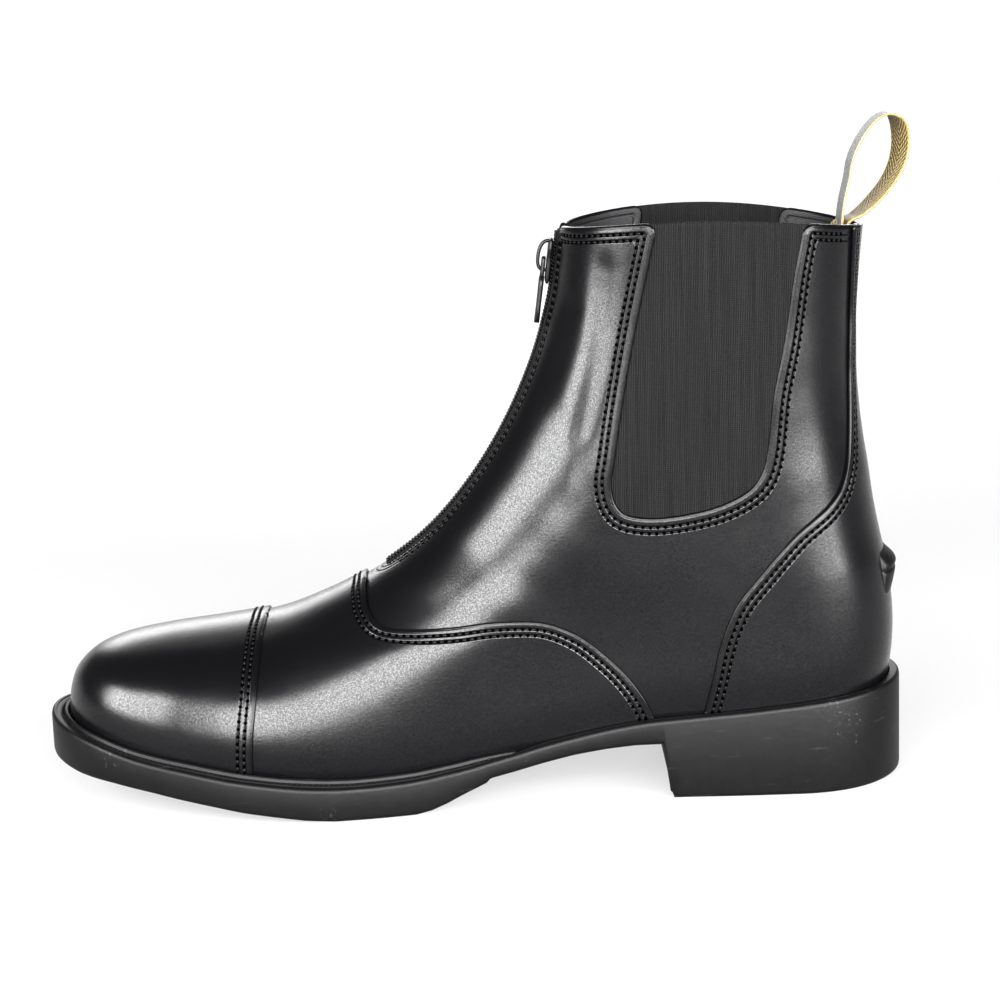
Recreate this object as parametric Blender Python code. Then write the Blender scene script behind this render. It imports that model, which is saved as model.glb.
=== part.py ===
# Left paddock boot with a front zip, side gussets and a rubber sole.
# Toe points to -X, the heel to +X, the outer side to -Y and +Z is up; Z 0 is the floor.
# Tables and sizes are in millimetres, and MM turns them into metres in the meshes.

import math

import bmesh
import bpy
import numpy as np

MM = 0.001

# Driving sizes of the whole boot
GAP = 0.3
AROUND = 56
WALL = 2.0
OVERLAY = 1.0
TOE_CAP = 1.9
# where the strip of the sole starts to give way for the thicker toe cap, and over which length
TOE_CAP_REACH = -58.0
TOE_CAP_EASE = 6.0
INSOLE_THICK = 3.0
WELT_THICK = 2.3
WELT_END = 13.0
WELT_CLEAR = 0.55
# share of the strip's width and of its thickness, from its inner edge round its section
WELT_SECTION = [(0.0, 0.0), (1.0, 0.0), (1.0, 0.72), (0.42, 0.8), (0.34, 1.15), (0.0, 1.25)]
# half of the width that cutters across the boot have, and a height above everything
WIDE = 70.0
HIGH = 200.0
BELOW = -8.0
FAR = 170.0
# rings of the upper that the toe cap and the vamp start from, and the lowest that the gussets need
TOE_CAP_RINGS = 9
VAMP_RINGS = 11
GUSSET_FIRST_RING = 6
# points round the bottom edge where the sole and the strip are measured from it
DENSE = 1441

# How the last is rounded
FRONT_ROUND = 50.0
DOME_POWER = 2.4
BACK_POWER = 2.2
TUCK = 0.035
TUCK_HEIGHT = 8.0
FOOT_TOP = 45.0
SHAFT_BOTTOM = 110.0
SAG_POWER = 2.0
COLLAR_ARCH = 4.0
SHARP = 50.0

# One row per ring of the upper, from its bottom edge to the collar
# front x, front z, back x, back z
RINGS = [
    (-134.9, 24.7, 137.0, 30.5),
    (-134.6, 31.0, 137.7, 36.0),
    (-132.9, 38.3, 138.5, 43.0),
    (-127.4, 44.6, 138.8, 50.0),
    (-117.0, 49.0, 138.5, 57.0),
    (-101.6, 51.9, 137.8, 64.0),
    (-83.0, 54.2, 136.7, 71.0),
    (-66.0, 57.0, 135.1, 78.0),
    (-48.0, 63.6, 133.4, 86.0),
    (-30.0, 73.0, 132.0, 94.0),
    (-14.0, 84.6, 130.8, 103.0),
    (-1.5, 98.0, 129.2, 113.0),
    (9.5, 113.7, 127.9, 124.0),
    (18.5, 130.7, 127.1, 137.0),
    (25.3, 148.0, 127.1, 151.0),
    (30.0, 166.5, 128.0, 167.0),
    (32.4, 184.0, 129.3, 181.5),
]

# One row per section along the foot
# x, centre y, lateral half width, medial half width, sole floor z, depth of the dome, sole edge, seat edge
FOOT = [
    (-143.0, 4.5, 39.5, 33.5, 26.0, 22.0, 8.4, 6.8),
    (-125.0, 4.5, 40.0, 34.0, 22.4, 24.0, 8.3, 6.7),
    (-110.0, 4.2, 40.7, 34.8, 18.8, 28.0, 8.2, 6.6),
    (-94.0, 3.6, 42.6, 37.4, 16.2, 31.0, 8.1, 6.5),
    (-74.0, 2.8, 44.1, 40.2, 12.7, 35.0, 7.9, 6.3),
    (-55.0, 1.8, 43.6, 40.9, 10.4, 40.0, 7.8, 6.2),
    (-40.0, 0.8, 41.6, 39.2, 9.7, 44.0, 7.6, 6.0),
    (-24.0, 0.0, 38.3, 36.0, 10.1, 48.0, 7.3, 5.7),
    (-8.0, 0.0, 35.0, 31.5, 11.8, 50.0, 7.0, 5.4),
    (9.0, 0.0, 32.3, 28.3, 15.0, 50.0, 6.5, 4.7),
    (25.0, 0.0, 30.8, 27.0, 18.3, 50.0, 5.6, 2.2),
    (42.0, 0.0, 30.5, 27.0, 21.6, 50.0, 5.0, 2.1),
    (58.0, 0.0, 31.3, 28.3, 24.0, 50.0, 4.6, 2.1),
    (73.0, 0.0, 32.0, 29.8, 25.1, 50.0, 4.4, 2.1),
    (93.0, 0.0, 32.6, 31.2, 26.6, 50.0, 4.4, 2.1),
    (113.0, 0.0, 32.6, 31.8, 28.4, 50.0, 4.6, 2.1),
    (143.0, 0.0, 32.6, 31.8, 30.4, 50.0, 5.4, 2.1),
]
CENTRE, LATERAL, MEDIAL, FLOOR, DOME, SOLE_EDGE, SEAT_EDGE = range(1, 8)

# One row per level of the shaft
# z, lateral half width, medial half width, length of the rounding at the back
SHAFT = [
    (25.0, 33.0, 31.0, 33.0),
    (60.0, 33.5, 32.0, 35.0),
    (90.0, 33.0, 32.0, 38.0),
    (115.0, 33.5, 33.0, 42.0),
    (150.0, 35.0, 34.5, 46.0),
    (190.0, 36.5, 36.0, 48.0),
]
SHAFT_LATERAL, SHAFT_MEDIAL, BACK_ROUND = range(1, 4)

# Underside of the sole, one row per section
# x, z, height of the rim above the floor
TREAD = [
    (-144.0, 14.2, 2.2),
    (-130.0, 12.4, 2.0),
    (-118.0, 11.4, 1.8),
    (-104.0, 9.4, 1.6),
    (-94.0, 7.5, 1.5),
    (-84.0, 5.6, 1.4),
    (-75.0, 3.7, 1.4),
    (-65.0, 2.1, 1.4),
    (-56.0, 0.8, 1.4),
    (-46.0, 0.0, 1.4),
    (-20.0, 0.0, 1.5),
    (-15.0, 0.9, 1.5),
    (-10.0, 2.7, 1.6),
    (-5.0, 5.0, 1.6),
    (0.0, 7.1, 1.6),
    (3.0, 8.4, 1.7),
    (4.2, 9.7, 1.7),
    (12.0, 11.3, 1.8),
    (22.0, 13.5, 2.1),
    (32.0, 15.6, 2.2),
    (42.0, 17.0, 2.3),
    (52.0, 18.0, 2.4),
    (61.0, 18.2, 2.4),
    (62.8, 0.0, 2.4),
    (144.0, 0.0, 2.9),
]
SOLE_BEVEL = 1.6
SOLE_TOP_BEVEL = 0.9
SOLE_STATIONS = 34
# between these places the tread's own rows are stations too, and others keep this share of its length away
TURNS = (-60.0, 70.0)
TURN_CLEAR = 0.012
HEEL_GROOVE = {"x": 98.5, "width": 2.2, "depth": 1.6}

# Seams as they run on the side of the boot, x and z
TOE_CAP_EDGE = [(-66.8, 61.0), (-69.1, 55.0), (-69.6, 49.0), (-70.5, 38.7), (-71.9, 26.5), (-72.6, 12.0)]
VAMP_EDGE = [
    (-31.8, 76.5),
    (-34.9, 69.6),
    (-34.7, 66.0),
    (-33.4, 62.3),
    (-29.0, 58.8),
    (-18.5, 58.2),
    (-6.2, 58.9),
    (6.1, 60.2),
    (18.6, 60.0),
    (26.6, 58.2),
    (34.9, 53.9),
    (42.8, 47.2),
    (49.4, 40.3),
    (54.8, 32.4),
    (58.4, 24.0),
]
COUNTER_EDGE = [
    (125.2, 182.0),
    (124.2, 144.4),
    (123.4, 115.2),
    (121.3, 102.5),
    (116.3, 94.6),
    (104.3, 85.3),
    (92.9, 72.5),
    (86.0, 63.9),
    (82.0, 55.3),
    (79.5, 47.5),
    (77.6, 39.0),
    (74.8, 28.0),
]
GUSSET_EDGE = [
    (61.4, 188.0),
    (60.2, 182.3),
    (53.6, 153.0),
    (48.9, 128.6),
    (46.3, 112.4),
    (45.1, 104.3),
    (46.6, 97.2),
    (51.3, 93.4),
    (62.0, 92.4),
    (76.6, 94.6),
    (87.2, 98.7),
    (93.3, 104.0),
    (96.4, 112.6),
    (98.8, 131.0),
    (102.5, 148.0),
    (105.8, 168.6),
    (108.2, 180.4),
    (109.4, 188.0),
]
GUSSET_SINK = 0.6
GUSSET_THICK = 1.1

# Zip: tape and chain in a slot on the front, slider with a bridge, and the pull tab
SLOT_HALF = 3.5
SLOT_FOOT_X = -28.3
SLOT_CUT = {"out": 6.0, "in": 9.0, "above": 12.0}
ZIP_END = 0.5
ZIP_STATIONS = 22
# y and height above the front line, round the section of tape and chain
ZIP_SECTION = [
    (-3.2, -1.4),
    (3.2, -1.4),
    (3.2, -0.3),
    (2.1, 0.2),
    (1.9, 1.2),
    (-1.9, 1.2),
    (-2.1, 0.2),
    (-3.2, -0.3),
]
HINGE_Z = 173.5
HINGE_HEIGHT = 3.9
SLIDER = {"half": 4.2, "low": 1.8, "high": 2.9, "down": 8.0, "up": 6.5}
# along the zip and height above the front line, on the middle of the bridge
BRIDGE = [(-3.3, 2.0), (-3.3, 4.2), (-2.2, 5.3), (1.5, 5.4), (4.2, 4.9), (5.6, 3.6), (5.8, 2.0)]
BRIDGE_SECTION = {"half": 1.1, "thick": 0.9}
PULL = {"bar": 0.65, "reach": 2.6, "arm": 0.55, "window": 5.6, "width": 3.3, "length": 21.5, "thick": 0.7}
PULL_LEAN = 8.1

# Pull loop: a ribbon folded back on itself, x and z of its middle
LOOP_LINE = [
    (123.4, 170.0),
    (123.4, 181.0),
    (124.3, 189.0),
    (125.9, 196.0),
    (127.0, 202.0),
    (129.0, 207.0),
    (131.8, 211.5),
    (135.0, 215.0),
    (138.4, 216.6),
    (141.9, 215.9),
    (144.3, 213.3),
    (145.2, 209.4),
    (145.0, 204.7),
    (143.8, 200.4),
    (141.2, 195.6),
    (137.2, 190.7),
    (133.3, 186.9),
    (129.6, 184.3),
    (126.6, 183.1),
    (125.0, 180.2),
    (124.9, 170.0),
]
LOOP_HALF = 5.5
LOOP_THICK = 1.2
LOOP_STEPS = 3

# Spur rest: a ledge round the back of the heel
# z and height above the counter
SPUR_ROWS = [(61.0, 0.7), (65.0, 1.5), (67.6, 2.7), (69.4, 3.3), (71.2, 2.7), (72.8, 1.2), (74.8, 0.7)]
SPUR_EDGE = 0.6
SPUR_REACH = 0.25
SPUR_COLUMNS = 11

COLOURS = {
    "upper": (0.018, 0.018, 0.019),
    "vamp": (0.018, 0.018, 0.019),
    "toe_cap": (0.016, 0.016, 0.017),
    "counter": (0.018, 0.018, 0.019),
    "gusset": (0.022, 0.022, 0.024),
    "sole": (0.020, 0.020, 0.020),
    "insole": (0.30, 0.22, 0.13),
    "metal": (0.10, 0.10, 0.11),
    "ribbon": (0.42, 0.36, 0.22),
    "zip": (0.015, 0.015, 0.016),
}


def smooth_curve(rows, column, at):
    """A smooth curve through one column of a table, which never overshoots its rows."""
    x = np.array([row[0] for row in rows], float)
    y = np.array([row[column] for row in rows], float)
    step = np.diff(x)
    slope = np.diff(y) / step
    tangent = np.zeros_like(y)
    tangent[0] = slope[0]
    tangent[-1] = slope[-1]
    same = slope[:-1] * slope[1:] > 0
    total = np.where(same, slope[:-1] + slope[1:], 1.0)
    tangent[1:-1] = np.where(same, 2 * slope[:-1] * slope[1:] / total, 0.0)
    at = np.clip(at, x[0], x[-1])
    left = np.clip(np.searchsorted(x, at) - 1, 0, len(x) - 2)
    s = (at - x[left]) / step[left]
    start = y[left] * (1 + 2 * s) * (1 - s) ** 2 + tangent[left] * step[left] * s * (1 - s) ** 2
    end = y[left + 1] * s * s * (3 - 2 * s) + tangent[left + 1] * step[left] * s * s * (s - 1)
    return start + end


def front_and_back(samples=1601):
    """The side outline of the upper: its front and back lines, both from the rings' table."""
    rows = [(k / (len(RINGS) - 1),) + ring for k, ring in enumerate(RINGS)]
    level = np.linspace(0.0, 1.0, samples)
    return level, [smooth_curve(rows, column, level) for column in range(1, 5)]


LEVEL, (FRONT_X, FRONT_Z, BACK_X, BACK_Z) = front_and_back()
# The front line goes on upwards past the collar, so that depths behind it stay smooth
ABOVE = 60.0
TOP_SLOPE = (FRONT_Z[-1] - FRONT_Z[-20]) / (FRONT_X[-1] - FRONT_X[-20])
LONG_X = np.append(FRONT_X, FRONT_X[-1] + ABOVE)
LONG_Z = np.append(FRONT_Z, FRONT_Z[-1] + ABOVE * TOP_SLOPE)


def bottom_edge(x):
    """Height of the upper's bottom edge, just above the floor of the sole."""
    return smooth_curve(FOOT, FLOOR, x) + GAP


def half_widths(x, z):
    """Centre line, lateral and medial half width of the last at a place on its side outline."""
    behind = np.maximum(x - np.interp(z, LONG_Z, LONG_X), 1e-9)
    below = np.maximum(np.interp(x, LONG_X, LONG_Z) - z, 1e-9)
    depth = 1 / np.sqrt((FRONT_ROUND / behind) ** 2 + (smooth_curve(FOOT, DOME, x) / below) ** 2)
    before = (np.interp(z, BACK_Z, BACK_X) - x) / smooth_curve(SHAFT, BACK_ROUND, z)
    front_cap = np.sqrt(1 - (1 - np.minimum(depth, 1)) ** DOME_POWER)
    back_cap = np.sqrt(1 - (1 - np.clip(before, 0, 1)) ** BACK_POWER)
    tuck = 1 - TUCK * np.exp(-(((z - bottom_edge(x)) / TUCK_HEIGHT) ** 2))
    rise = np.clip((z - FOOT_TOP) / (SHAFT_BOTTOM - FOOT_TOP), 0, 1)
    rise = rise * rise * (3 - 2 * rise)
    cap = front_cap * back_cap * tuck
    lateral = (1 - rise) * smooth_curve(FOOT, LATERAL, x) + rise * smooth_curve(SHAFT, SHAFT_LATERAL, z)
    medial = (1 - rise) * smooth_curve(FOOT, MEDIAL, x) + rise * smooth_curve(SHAFT, SHAFT_MEDIAL, z)
    return smooth_curve(FOOT, CENTRE, x) * (1 - rise), lateral * cap, medial * cap


def boot_point(level, angle):
    """A point of the upper: level 0 at the bottom edge to 1 at the collar, angle 0 at the back seam."""
    level, angle = np.broadcast_arrays(np.asarray(level, float), np.asarray(angle, float))
    back = (1 + np.cos(angle)) / 2
    lines = (FRONT_X, FRONT_Z, BACK_X, BACK_Z)
    front_x, front_z, back_x, back_z = (np.interp(level, LEVEL, line) for line in lines)
    x = front_x + (back_x - front_x) * back
    sag = bottom_edge(x) - bottom_edge(front_x) * (1 - back) - bottom_edge(back_x) * back
    arch = COLLAR_ARCH * np.sin(np.pi * back) * level**6
    z = front_z + (back_z - front_z) * back + sag * (1 - level) ** SAG_POWER + arch
    centre, lateral, medial = half_widths(x, z)
    y = centre + np.where(np.sin(angle) >= 0, -lateral, medial)
    return np.stack([x, y, z], -1)


def boot_normal(level, angle, reach=2e-4):
    """The outward direction there, from small steps along and across the surface."""
    up = boot_point(np.clip(level + reach, 0, 1), angle) - boot_point(np.clip(level - reach, 0, 1), angle)
    along = boot_point(level, angle - 3 * reach) - boot_point(level, angle + 3 * reach)
    normal = np.cross(along, up)
    return normal / np.linalg.norm(normal, axis=-1, keepdims=True)


def layer(levels, angles, height):
    """The boot's surface moved out by a height; its two edges stay just over the sole and at the collar."""
    level, angle = np.meshgrid(levels, angles, indexing="ij")
    points = boot_point(level, angle)
    moved = points + height * boot_normal(level, angle)
    if levels[0] == 0.0:
        moved[0, :, 2] = bottom_edge(moved[0, :, 0])
    if levels[-1] == 1.0:
        moved[-1, :, 2] = points[-1, :, 2]
    return moved


def face_outwards(mesh):
    """Turns every face of a closed mesh outwards."""
    bm = bmesh.new()
    bm.from_mesh(mesh)
    bmesh.ops.recalc_face_normals(bm, faces=bm.faces)
    bm.to_mesh(mesh)
    bm.free()


def add_material(mesh, colour, roughness, metallic):
    """A plain material of the piece's own."""
    material = bpy.data.materials.new(mesh.name)
    material.use_nodes = True
    shader = material.node_tree.nodes["Principled BSDF"]
    shader.inputs["Base Color"].default_value = (*COLOURS[colour], 1)
    shader.inputs["Roughness"].default_value = roughness
    shader.inputs["Metallic"].default_value = metallic
    mesh.materials.append(material)


def add_object(name, points, faces, colour, roughness=0.5, metallic=0.0):
    """A mesh object in the boot's collection, with its points in millimetres."""
    mesh = bpy.data.meshes.new(name)
    mesh.from_pydata((np.asarray(points) * MM).tolist(), [], faces)
    face_outwards(mesh)
    mesh.shade_smooth()
    mesh.set_sharp_from_angle(angle=math.radians(SHARP))
    piece = bpy.data.objects.new(name, mesh)
    boot_collection.objects.link(piece)
    add_material(mesh, colour, roughness, metallic)
    return piece


def drawn_mesh(name, corners, step):
    """A flat outline drawn out along a step, closed; both in millimetres."""
    mesh = bpy.data.meshes.new(name)
    bm = bmesh.new()
    face = bm.faces.new([bm.verts.new([c * MM for c in corner]) for corner in corners])
    drawn = bmesh.ops.extrude_face_region(bm, geom=[face])["geom"]
    moved = [v for v in drawn if isinstance(v, bmesh.types.BMVert)]
    bmesh.ops.translate(bm, vec=[c * MM for c in step], verts=moved)
    bmesh.ops.recalc_face_normals(bm, faces=bm.faces)
    bm.to_mesh(mesh)
    bm.free()
    return mesh


def keep_as_cutter(cutter):
    """Puts an object among the cutters, shown as wire and left out of renders."""
    for collection in list(cutter.users_collection):
        collection.objects.unlink(cutter)
    cutter_collection.objects.link(cutter)
    cutter.hide_render = True
    cutter.display_type = "WIRE"


def grid_faces(rows, columns, closed, first=0):
    """Triangles of a grid of points, all with the same diagonal, so that layers stay parallel."""
    faces = []
    for i in range(rows - 1):
        for j in range(columns if closed else columns - 1):
            k = (j + 1) % columns
            a, b = first + i * columns + j, first + i * columns + k
            c, d = first + (i + 1) * columns + k, first + (i + 1) * columns + j
            faces += [(a, c, b), (a, d, c)]
    return faces


def boot_shell(name, levels, inner, outer, colour, **look):
    """A closed band of the boot's surface between two heights, right round the last."""
    angles = np.arange(AROUND) * 2 * math.pi / AROUND
    points = np.concatenate([layer(levels, angles, h).reshape(-1, 3) for h in (outer, inner)])
    rows = len(levels)
    second = rows * AROUND
    faces = grid_faces(rows, AROUND, True) + grid_faces(rows, AROUND, True, second)
    for j in range(AROUND):
        k = (j + 1) % AROUND
        top = (rows - 1) * AROUND
        faces += [(j, k, second + k), (j, second + k, second + j)]
        faces += [(top + k, top + j, second + top + j), (top + k, second + top + j, second + top + k)]
    return add_object(name, points, faces, colour, **look)


def prism(name, outline, low, high):
    """A cutter: an outline in x and z, drawn out along y."""
    mesh = drawn_mesh(name, [(x, low, z) for x, z in outline], (0, high - low, 0))
    cutter = bpy.data.objects.new(name, mesh)
    keep_as_cutter(cutter)
    return cutter


def cut(piece, cutter, operation):
    """A live Boolean on a piece."""
    boolean = piece.modifiers.new(operation.title() + " " + cutter.name, "BOOLEAN")
    boolean.operation = operation
    boolean.solver = "EXACT"
    boolean.object = cutter


def inset(outline, distance):
    """An open outline moved to the right of its own direction."""
    line = np.array(outline, float)
    along = np.gradient(line, axis=0)
    along /= np.linalg.norm(along, axis=1, keepdims=True)
    return [tuple(p) for p in line + distance * np.stack([along[:, 1], -along[:, 0]], 1)]


def plan_ring(angles, distance):
    """The upper's bottom edge seen from above, moved out sideways; the distance may vary."""
    ring = boot_point(0.0, angles)[:, :2]
    along = boot_point(0.0, angles + 1e-3)[:, :2] - boot_point(0.0, angles - 1e-3)[:, :2]
    along /= np.linalg.norm(along, axis=1, keepdims=True)
    return ring + np.stack([-along[:, 1], along[:, 0]], 1) * np.reshape(distance, (-1, 1))


def overlay_edge(x):
    """How far the overlay over the upper reaches outwards near the sole."""
    toe = np.clip((TOE_CAP_REACH - x) / TOE_CAP_EASE, 0, 1)
    return GAP + OVERLAY + (TOE_CAP - OVERLAY) * toe


def make_upper():
    """Foot and shaft in one hollow wall, with the two gusset windows and the zip's slot cut out."""
    levels = np.linspace(0.0, 1.0, len(RINGS))
    upper = boot_shell("upper", levels, -WALL, 0.0, "upper", roughness=0.32)
    top = [(GUSSET_EDGE[-1][0], HIGH), (GUSSET_EDGE[0][0], HIGH)]
    cut(upper, prism("gusset_window", GUSSET_EDGE + top, -WIDE, WIDE), "DIFFERENCE")
    cut(upper, prism("zip_slot", slot_outline(), -SLOT_HALF, SLOT_HALF), "DIFFERENCE")


def front_line(first, last, count):
    """Points and outward directions on the front line between two heights."""
    z = np.linspace(first, last, count)
    x = np.interp(z, FRONT_Z, FRONT_X)
    run = np.interp(z + 1, LONG_Z, LONG_X) - np.interp(z - 1, LONG_Z, LONG_X)
    tangent = np.stack([run, np.full(count, 2.0)], 1)
    tangent /= np.linalg.norm(tangent, axis=1, keepdims=True)
    return np.stack([x, z], 1), tangent, np.stack([-tangent[:, 1], tangent[:, 0]], 1)


def slot_outline():
    """The zip's slot from the side: a band across the wall along the front line."""
    points, tangent, outward = front_line(np.interp(SLOT_FOOT_X, FRONT_X, FRONT_Z), FRONT_Z[-1], 16)
    points[-1] += tangent[-1] * SLOT_CUT["above"]
    near, far = points + SLOT_CUT["out"] * outward, points - SLOT_CUT["in"] * outward
    return [tuple(p) for p in near] + [tuple(p) for p in far[::-1]]


def make_overlays():
    """Toe cap, vamp and counter: bands over the upper, cut to their seams."""
    levels = np.linspace(0.0, 1.0, len(RINGS))
    toe_cap = boot_shell("toe_cap", levels[:TOE_CAP_RINGS], GAP, GAP + TOE_CAP, "toe_cap", roughness=0.22)
    front = [(-FAR, BELOW), (-FAR, HIGH), (TOE_CAP_EDGE[0][0], HIGH)]
    outline = TOE_CAP_EDGE + [(TOE_CAP_EDGE[-1][0], BELOW)] + front
    cut(toe_cap, prism("toe_cap_shape", outline, -WIDE, WIDE), "INTERSECT")
    vamp = boot_shell("vamp", levels[:VAMP_RINGS], GAP, GAP + OVERLAY, "vamp", roughness=0.3)
    seam = inset(TOE_CAP_EDGE, -GAP)
    low = [(VAMP_EDGE[-1][0] + 1.0, BELOW), (seam[-1][0], BELOW)]
    outline = VAMP_EDGE + low + seam[::-1] + [(seam[0][0], HIGH), (VAMP_EDGE[0][0], HIGH)]
    cut(vamp, prism("vamp_shape", outline, -WIDE, WIDE), "INTERSECT")
    counter = boot_shell("counter", levels, GAP, GAP + OVERLAY, "counter", roughness=0.3)
    foot = COUNTER_EDGE[-1][0] - 0.5
    outline = COUNTER_EDGE + [(foot, BELOW), (FAR, BELOW), (FAR, HIGH), (COUNTER_EDGE[0][0], HIGH)]
    cut(counter, prism("counter_shape", outline, -WIDE, WIDE), "INTERSECT")


def make_gussets():
    """Elastic panels inside the windows, a little below the leather."""
    levels = np.linspace(0.0, 1.0, len(RINGS))[GUSSET_FIRST_RING:]
    outline = inset(GUSSET_EDGE, -GAP)
    outline += [(outline[-1][0], HIGH), (outline[0][0], HIGH)]
    for name, low, high in (("gusset_outer", -WIDE, -WALL), ("gusset_inner", WALL, WIDE)):
        panel = boot_shell(name, levels, -GUSSET_SINK - GUSSET_THICK, -GUSSET_SINK, "gusset", roughness=0.85)
        cut(panel, prism(name + "_shape", outline, low, high), "INTERSECT")


def make_insole():
    """A flat board inside the upper, on the floor of the sole."""
    angles = np.arange(AROUND) * 2 * math.pi / AROUND
    ring = plan_ring(angles, np.full(AROUND, -WALL - 2 * GAP))
    low = smooth_curve(FOOT, FLOOR, ring[:, 0]) + GAP
    points = np.concatenate([np.column_stack([ring, low]), np.column_stack([ring, low + INSOLE_THICK])])
    faces = grid_faces(2, AROUND, True)
    faces += ladder(list(range(AROUND))) + ladder(list(range(AROUND, 2 * AROUND)))
    add_object("insole", points, faces, "insole", roughness=0.7)


def ladder(ring):
    """Faces across a ring that starts at the heel and runs along the outer side, from side to side."""
    count = len(ring)
    half = count // 2
    faces = [(ring[0], ring[1], ring[-1]), (ring[half], ring[half + 1], ring[half - 1])]
    for j in range(1, half - 1):
        a, b, c, d = ring[j], ring[j + 1], ring[count - j - 1], ring[count - j]
        faces += [(a, b, c), (a, c, d)]
    return faces


def make_welt():
    """A strip round the forefoot on the sole's floor, with a raised bead beside the upper."""
    dense = np.linspace(0, 2 * math.pi, DENSE)
    inside = boot_point(0.0, dense)[:, 0] < WELT_END
    columns = np.arange(AROUND) * 2 * math.pi / AROUND
    start, end = dense[inside][0], dense[inside][-1]
    angles = np.array([start] + [a for a in columns if start + 0.03 < a < end - 0.03] + [end])
    x = boot_point(0.0, angles)[:, 0]
    inner = overlay_edge(x) + WELT_CLEAR
    outer = smooth_curve(FOOT, SEAT_EDGE, x) - GAP
    rings = []
    for share, rise in WELT_SECTION:
        plan = plan_ring(angles, inner + (outer - inner) * share)
        rings.append(np.column_stack([plan, bottom_edge(plan[:, 0]) + WELT_THICK * rise]))
    points = np.stack(rings, 1).reshape(-1, 3)
    size = len(WELT_SECTION)
    faces = grid_faces(len(angles), size, True)
    last = (len(angles) - 1) * size
    faces += [(0, j, j + 1) for j in range(1, size - 1)]
    faces += [(last, last + j + 1, last + j) for j in range(1, size - 1)]
    add_object("welt", points, faces, "sole", roughness=0.6)


def sole_ring(stations, edge, height):
    """A ring of the sole at given stations: from the heel along the outer side to the toe and back."""
    dense = np.linspace(0, 2 * math.pi, DENSE)
    half = DENSE // 2
    curve = plan_ring(dense, edge(boot_point(0.0, dense)[:, 0]))
    heel, toe = curve[:, 0].max(), curve[:, 0].min()
    x = toe + (heel - toe) * stations
    outer, inner = curve[: half + 1], curve[half:]
    lateral = np.interp(-x, -outer[:, 0], outer[:, 1])
    medial = np.interp(x, inner[:, 0], inner[:, 1])
    ring = [(x[0], curve[0, 1])] + list(zip(x[1:-1], lateral[1:-1]))
    ring += [(x[-1], curve[half, 1])] + list(zip(x[-2:0:-1], medial[-2:0:-1]))
    ring = np.array(ring)
    return np.column_stack([ring, height(ring[:, 0])])


def make_outsole():
    """Sole and heel in one: rings from the tread up the side, over the rim and down to the floor."""
    def tread(x):
        return np.interp(x, [row[0] for row in TREAD], [row[1] for row in TREAD])

    def floor(x):
        return smooth_curve(FOOT, FLOOR, x)

    def rim(x):
        return floor(x) + np.interp(x, [row[0] for row in TREAD], [row[2] for row in TREAD])

    def edge(inward):
        return lambda x: smooth_curve(FOOT, SOLE_EDGE, x) - inward

    toe, heel = RINGS[0][0] - FOOT[0][SOLE_EDGE], RINGS[0][2] + FOOT[-1][SOLE_EDGE]
    even = (1 + np.cos(np.linspace(0, math.pi, SOLE_STATIONS))) / 2
    turns = np.array([(row[0] - toe) / (heel - toe) for row in TREAD if TURNS[0] < row[0] < TURNS[1]])
    even = np.array([s for s in even if np.abs(turns - s).min() > TURN_CLEAR])
    stations = np.sort(np.concatenate([even, turns]))[::-1]
    rings = [
        sole_ring(stations, edge(SOLE_BEVEL), tread),
        sole_ring(stations, edge(0.0), lambda x: tread(x) + SOLE_BEVEL),
        sole_ring(stations, edge(0.0), lambda x: rim(x) - SOLE_TOP_BEVEL),
        sole_ring(stations, edge(SOLE_TOP_BEVEL), rim),
        sole_ring(stations, lambda x: smooth_curve(FOOT, SEAT_EDGE, x), rim),
        sole_ring(stations, lambda x: smooth_curve(FOOT, SEAT_EDGE, x), floor),
    ]
    size = len(rings[0])
    faces = grid_faces(len(rings), size, True)
    faces += ladder(list(range(size)))
    last = (len(rings) - 1) * size
    faces += ladder(list(range(last, last + size)))
    outsole = add_object("outsole", np.concatenate(rings), faces, "sole", roughness=0.62)
    x, half = HEEL_GROOVE["x"], HEEL_GROOVE["width"] / 2
    depth = HEEL_GROOVE["depth"]
    box = [(x - half, BELOW), (x + half, BELOW), (x + half, depth), (x - half, depth)]
    cut(outsole, prism("heel_groove", box, -WIDE, WIDE), "DIFFERENCE")


def sweep(name, centres, across, section, colour, **look):
    """A section of sideways and outward steps, carried along a line in the x-z plane."""
    points = []
    for centre, outward in zip(centres, across):
        for side, height in section:
            x, z = np.asarray(centre) + np.asarray(outward) * height
            points.append((x, side, z))
    size = len(section)
    faces = grid_faces(len(centres), size, True)
    last = (len(centres) - 1) * size
    faces += [(0, j + 1, j) for j in range(1, size - 1)]
    faces += [(last, last + j, last + j + 1) for j in range(1, size - 1)]
    return add_object(name, points, faces, colour, **look)


def flat_section(half, thick):
    """The four corners of a strip's section."""
    return [(-half, -thick), (half, -thick), (half, thick), (-half, thick)]


def make_zip():
    """Tape and chain up the front, in the slot."""
    foot = np.interp(SLOT_FOOT_X + ZIP_END, FRONT_X, FRONT_Z)
    points, _, outward = front_line(foot, FRONT_Z[-1] - ZIP_END, ZIP_STATIONS)
    sweep("zip_tape", points, outward, ZIP_SECTION, "zip", roughness=0.5)


def zip_place(along, height):
    """World x and z of a place given along the zip from the hinge and above the front line."""
    foot, tangent, outward = front_line(HINGE_Z, HINGE_Z + 1.0, 2)
    return foot[0] + tangent[0] * along + outward[0] * height


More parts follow.
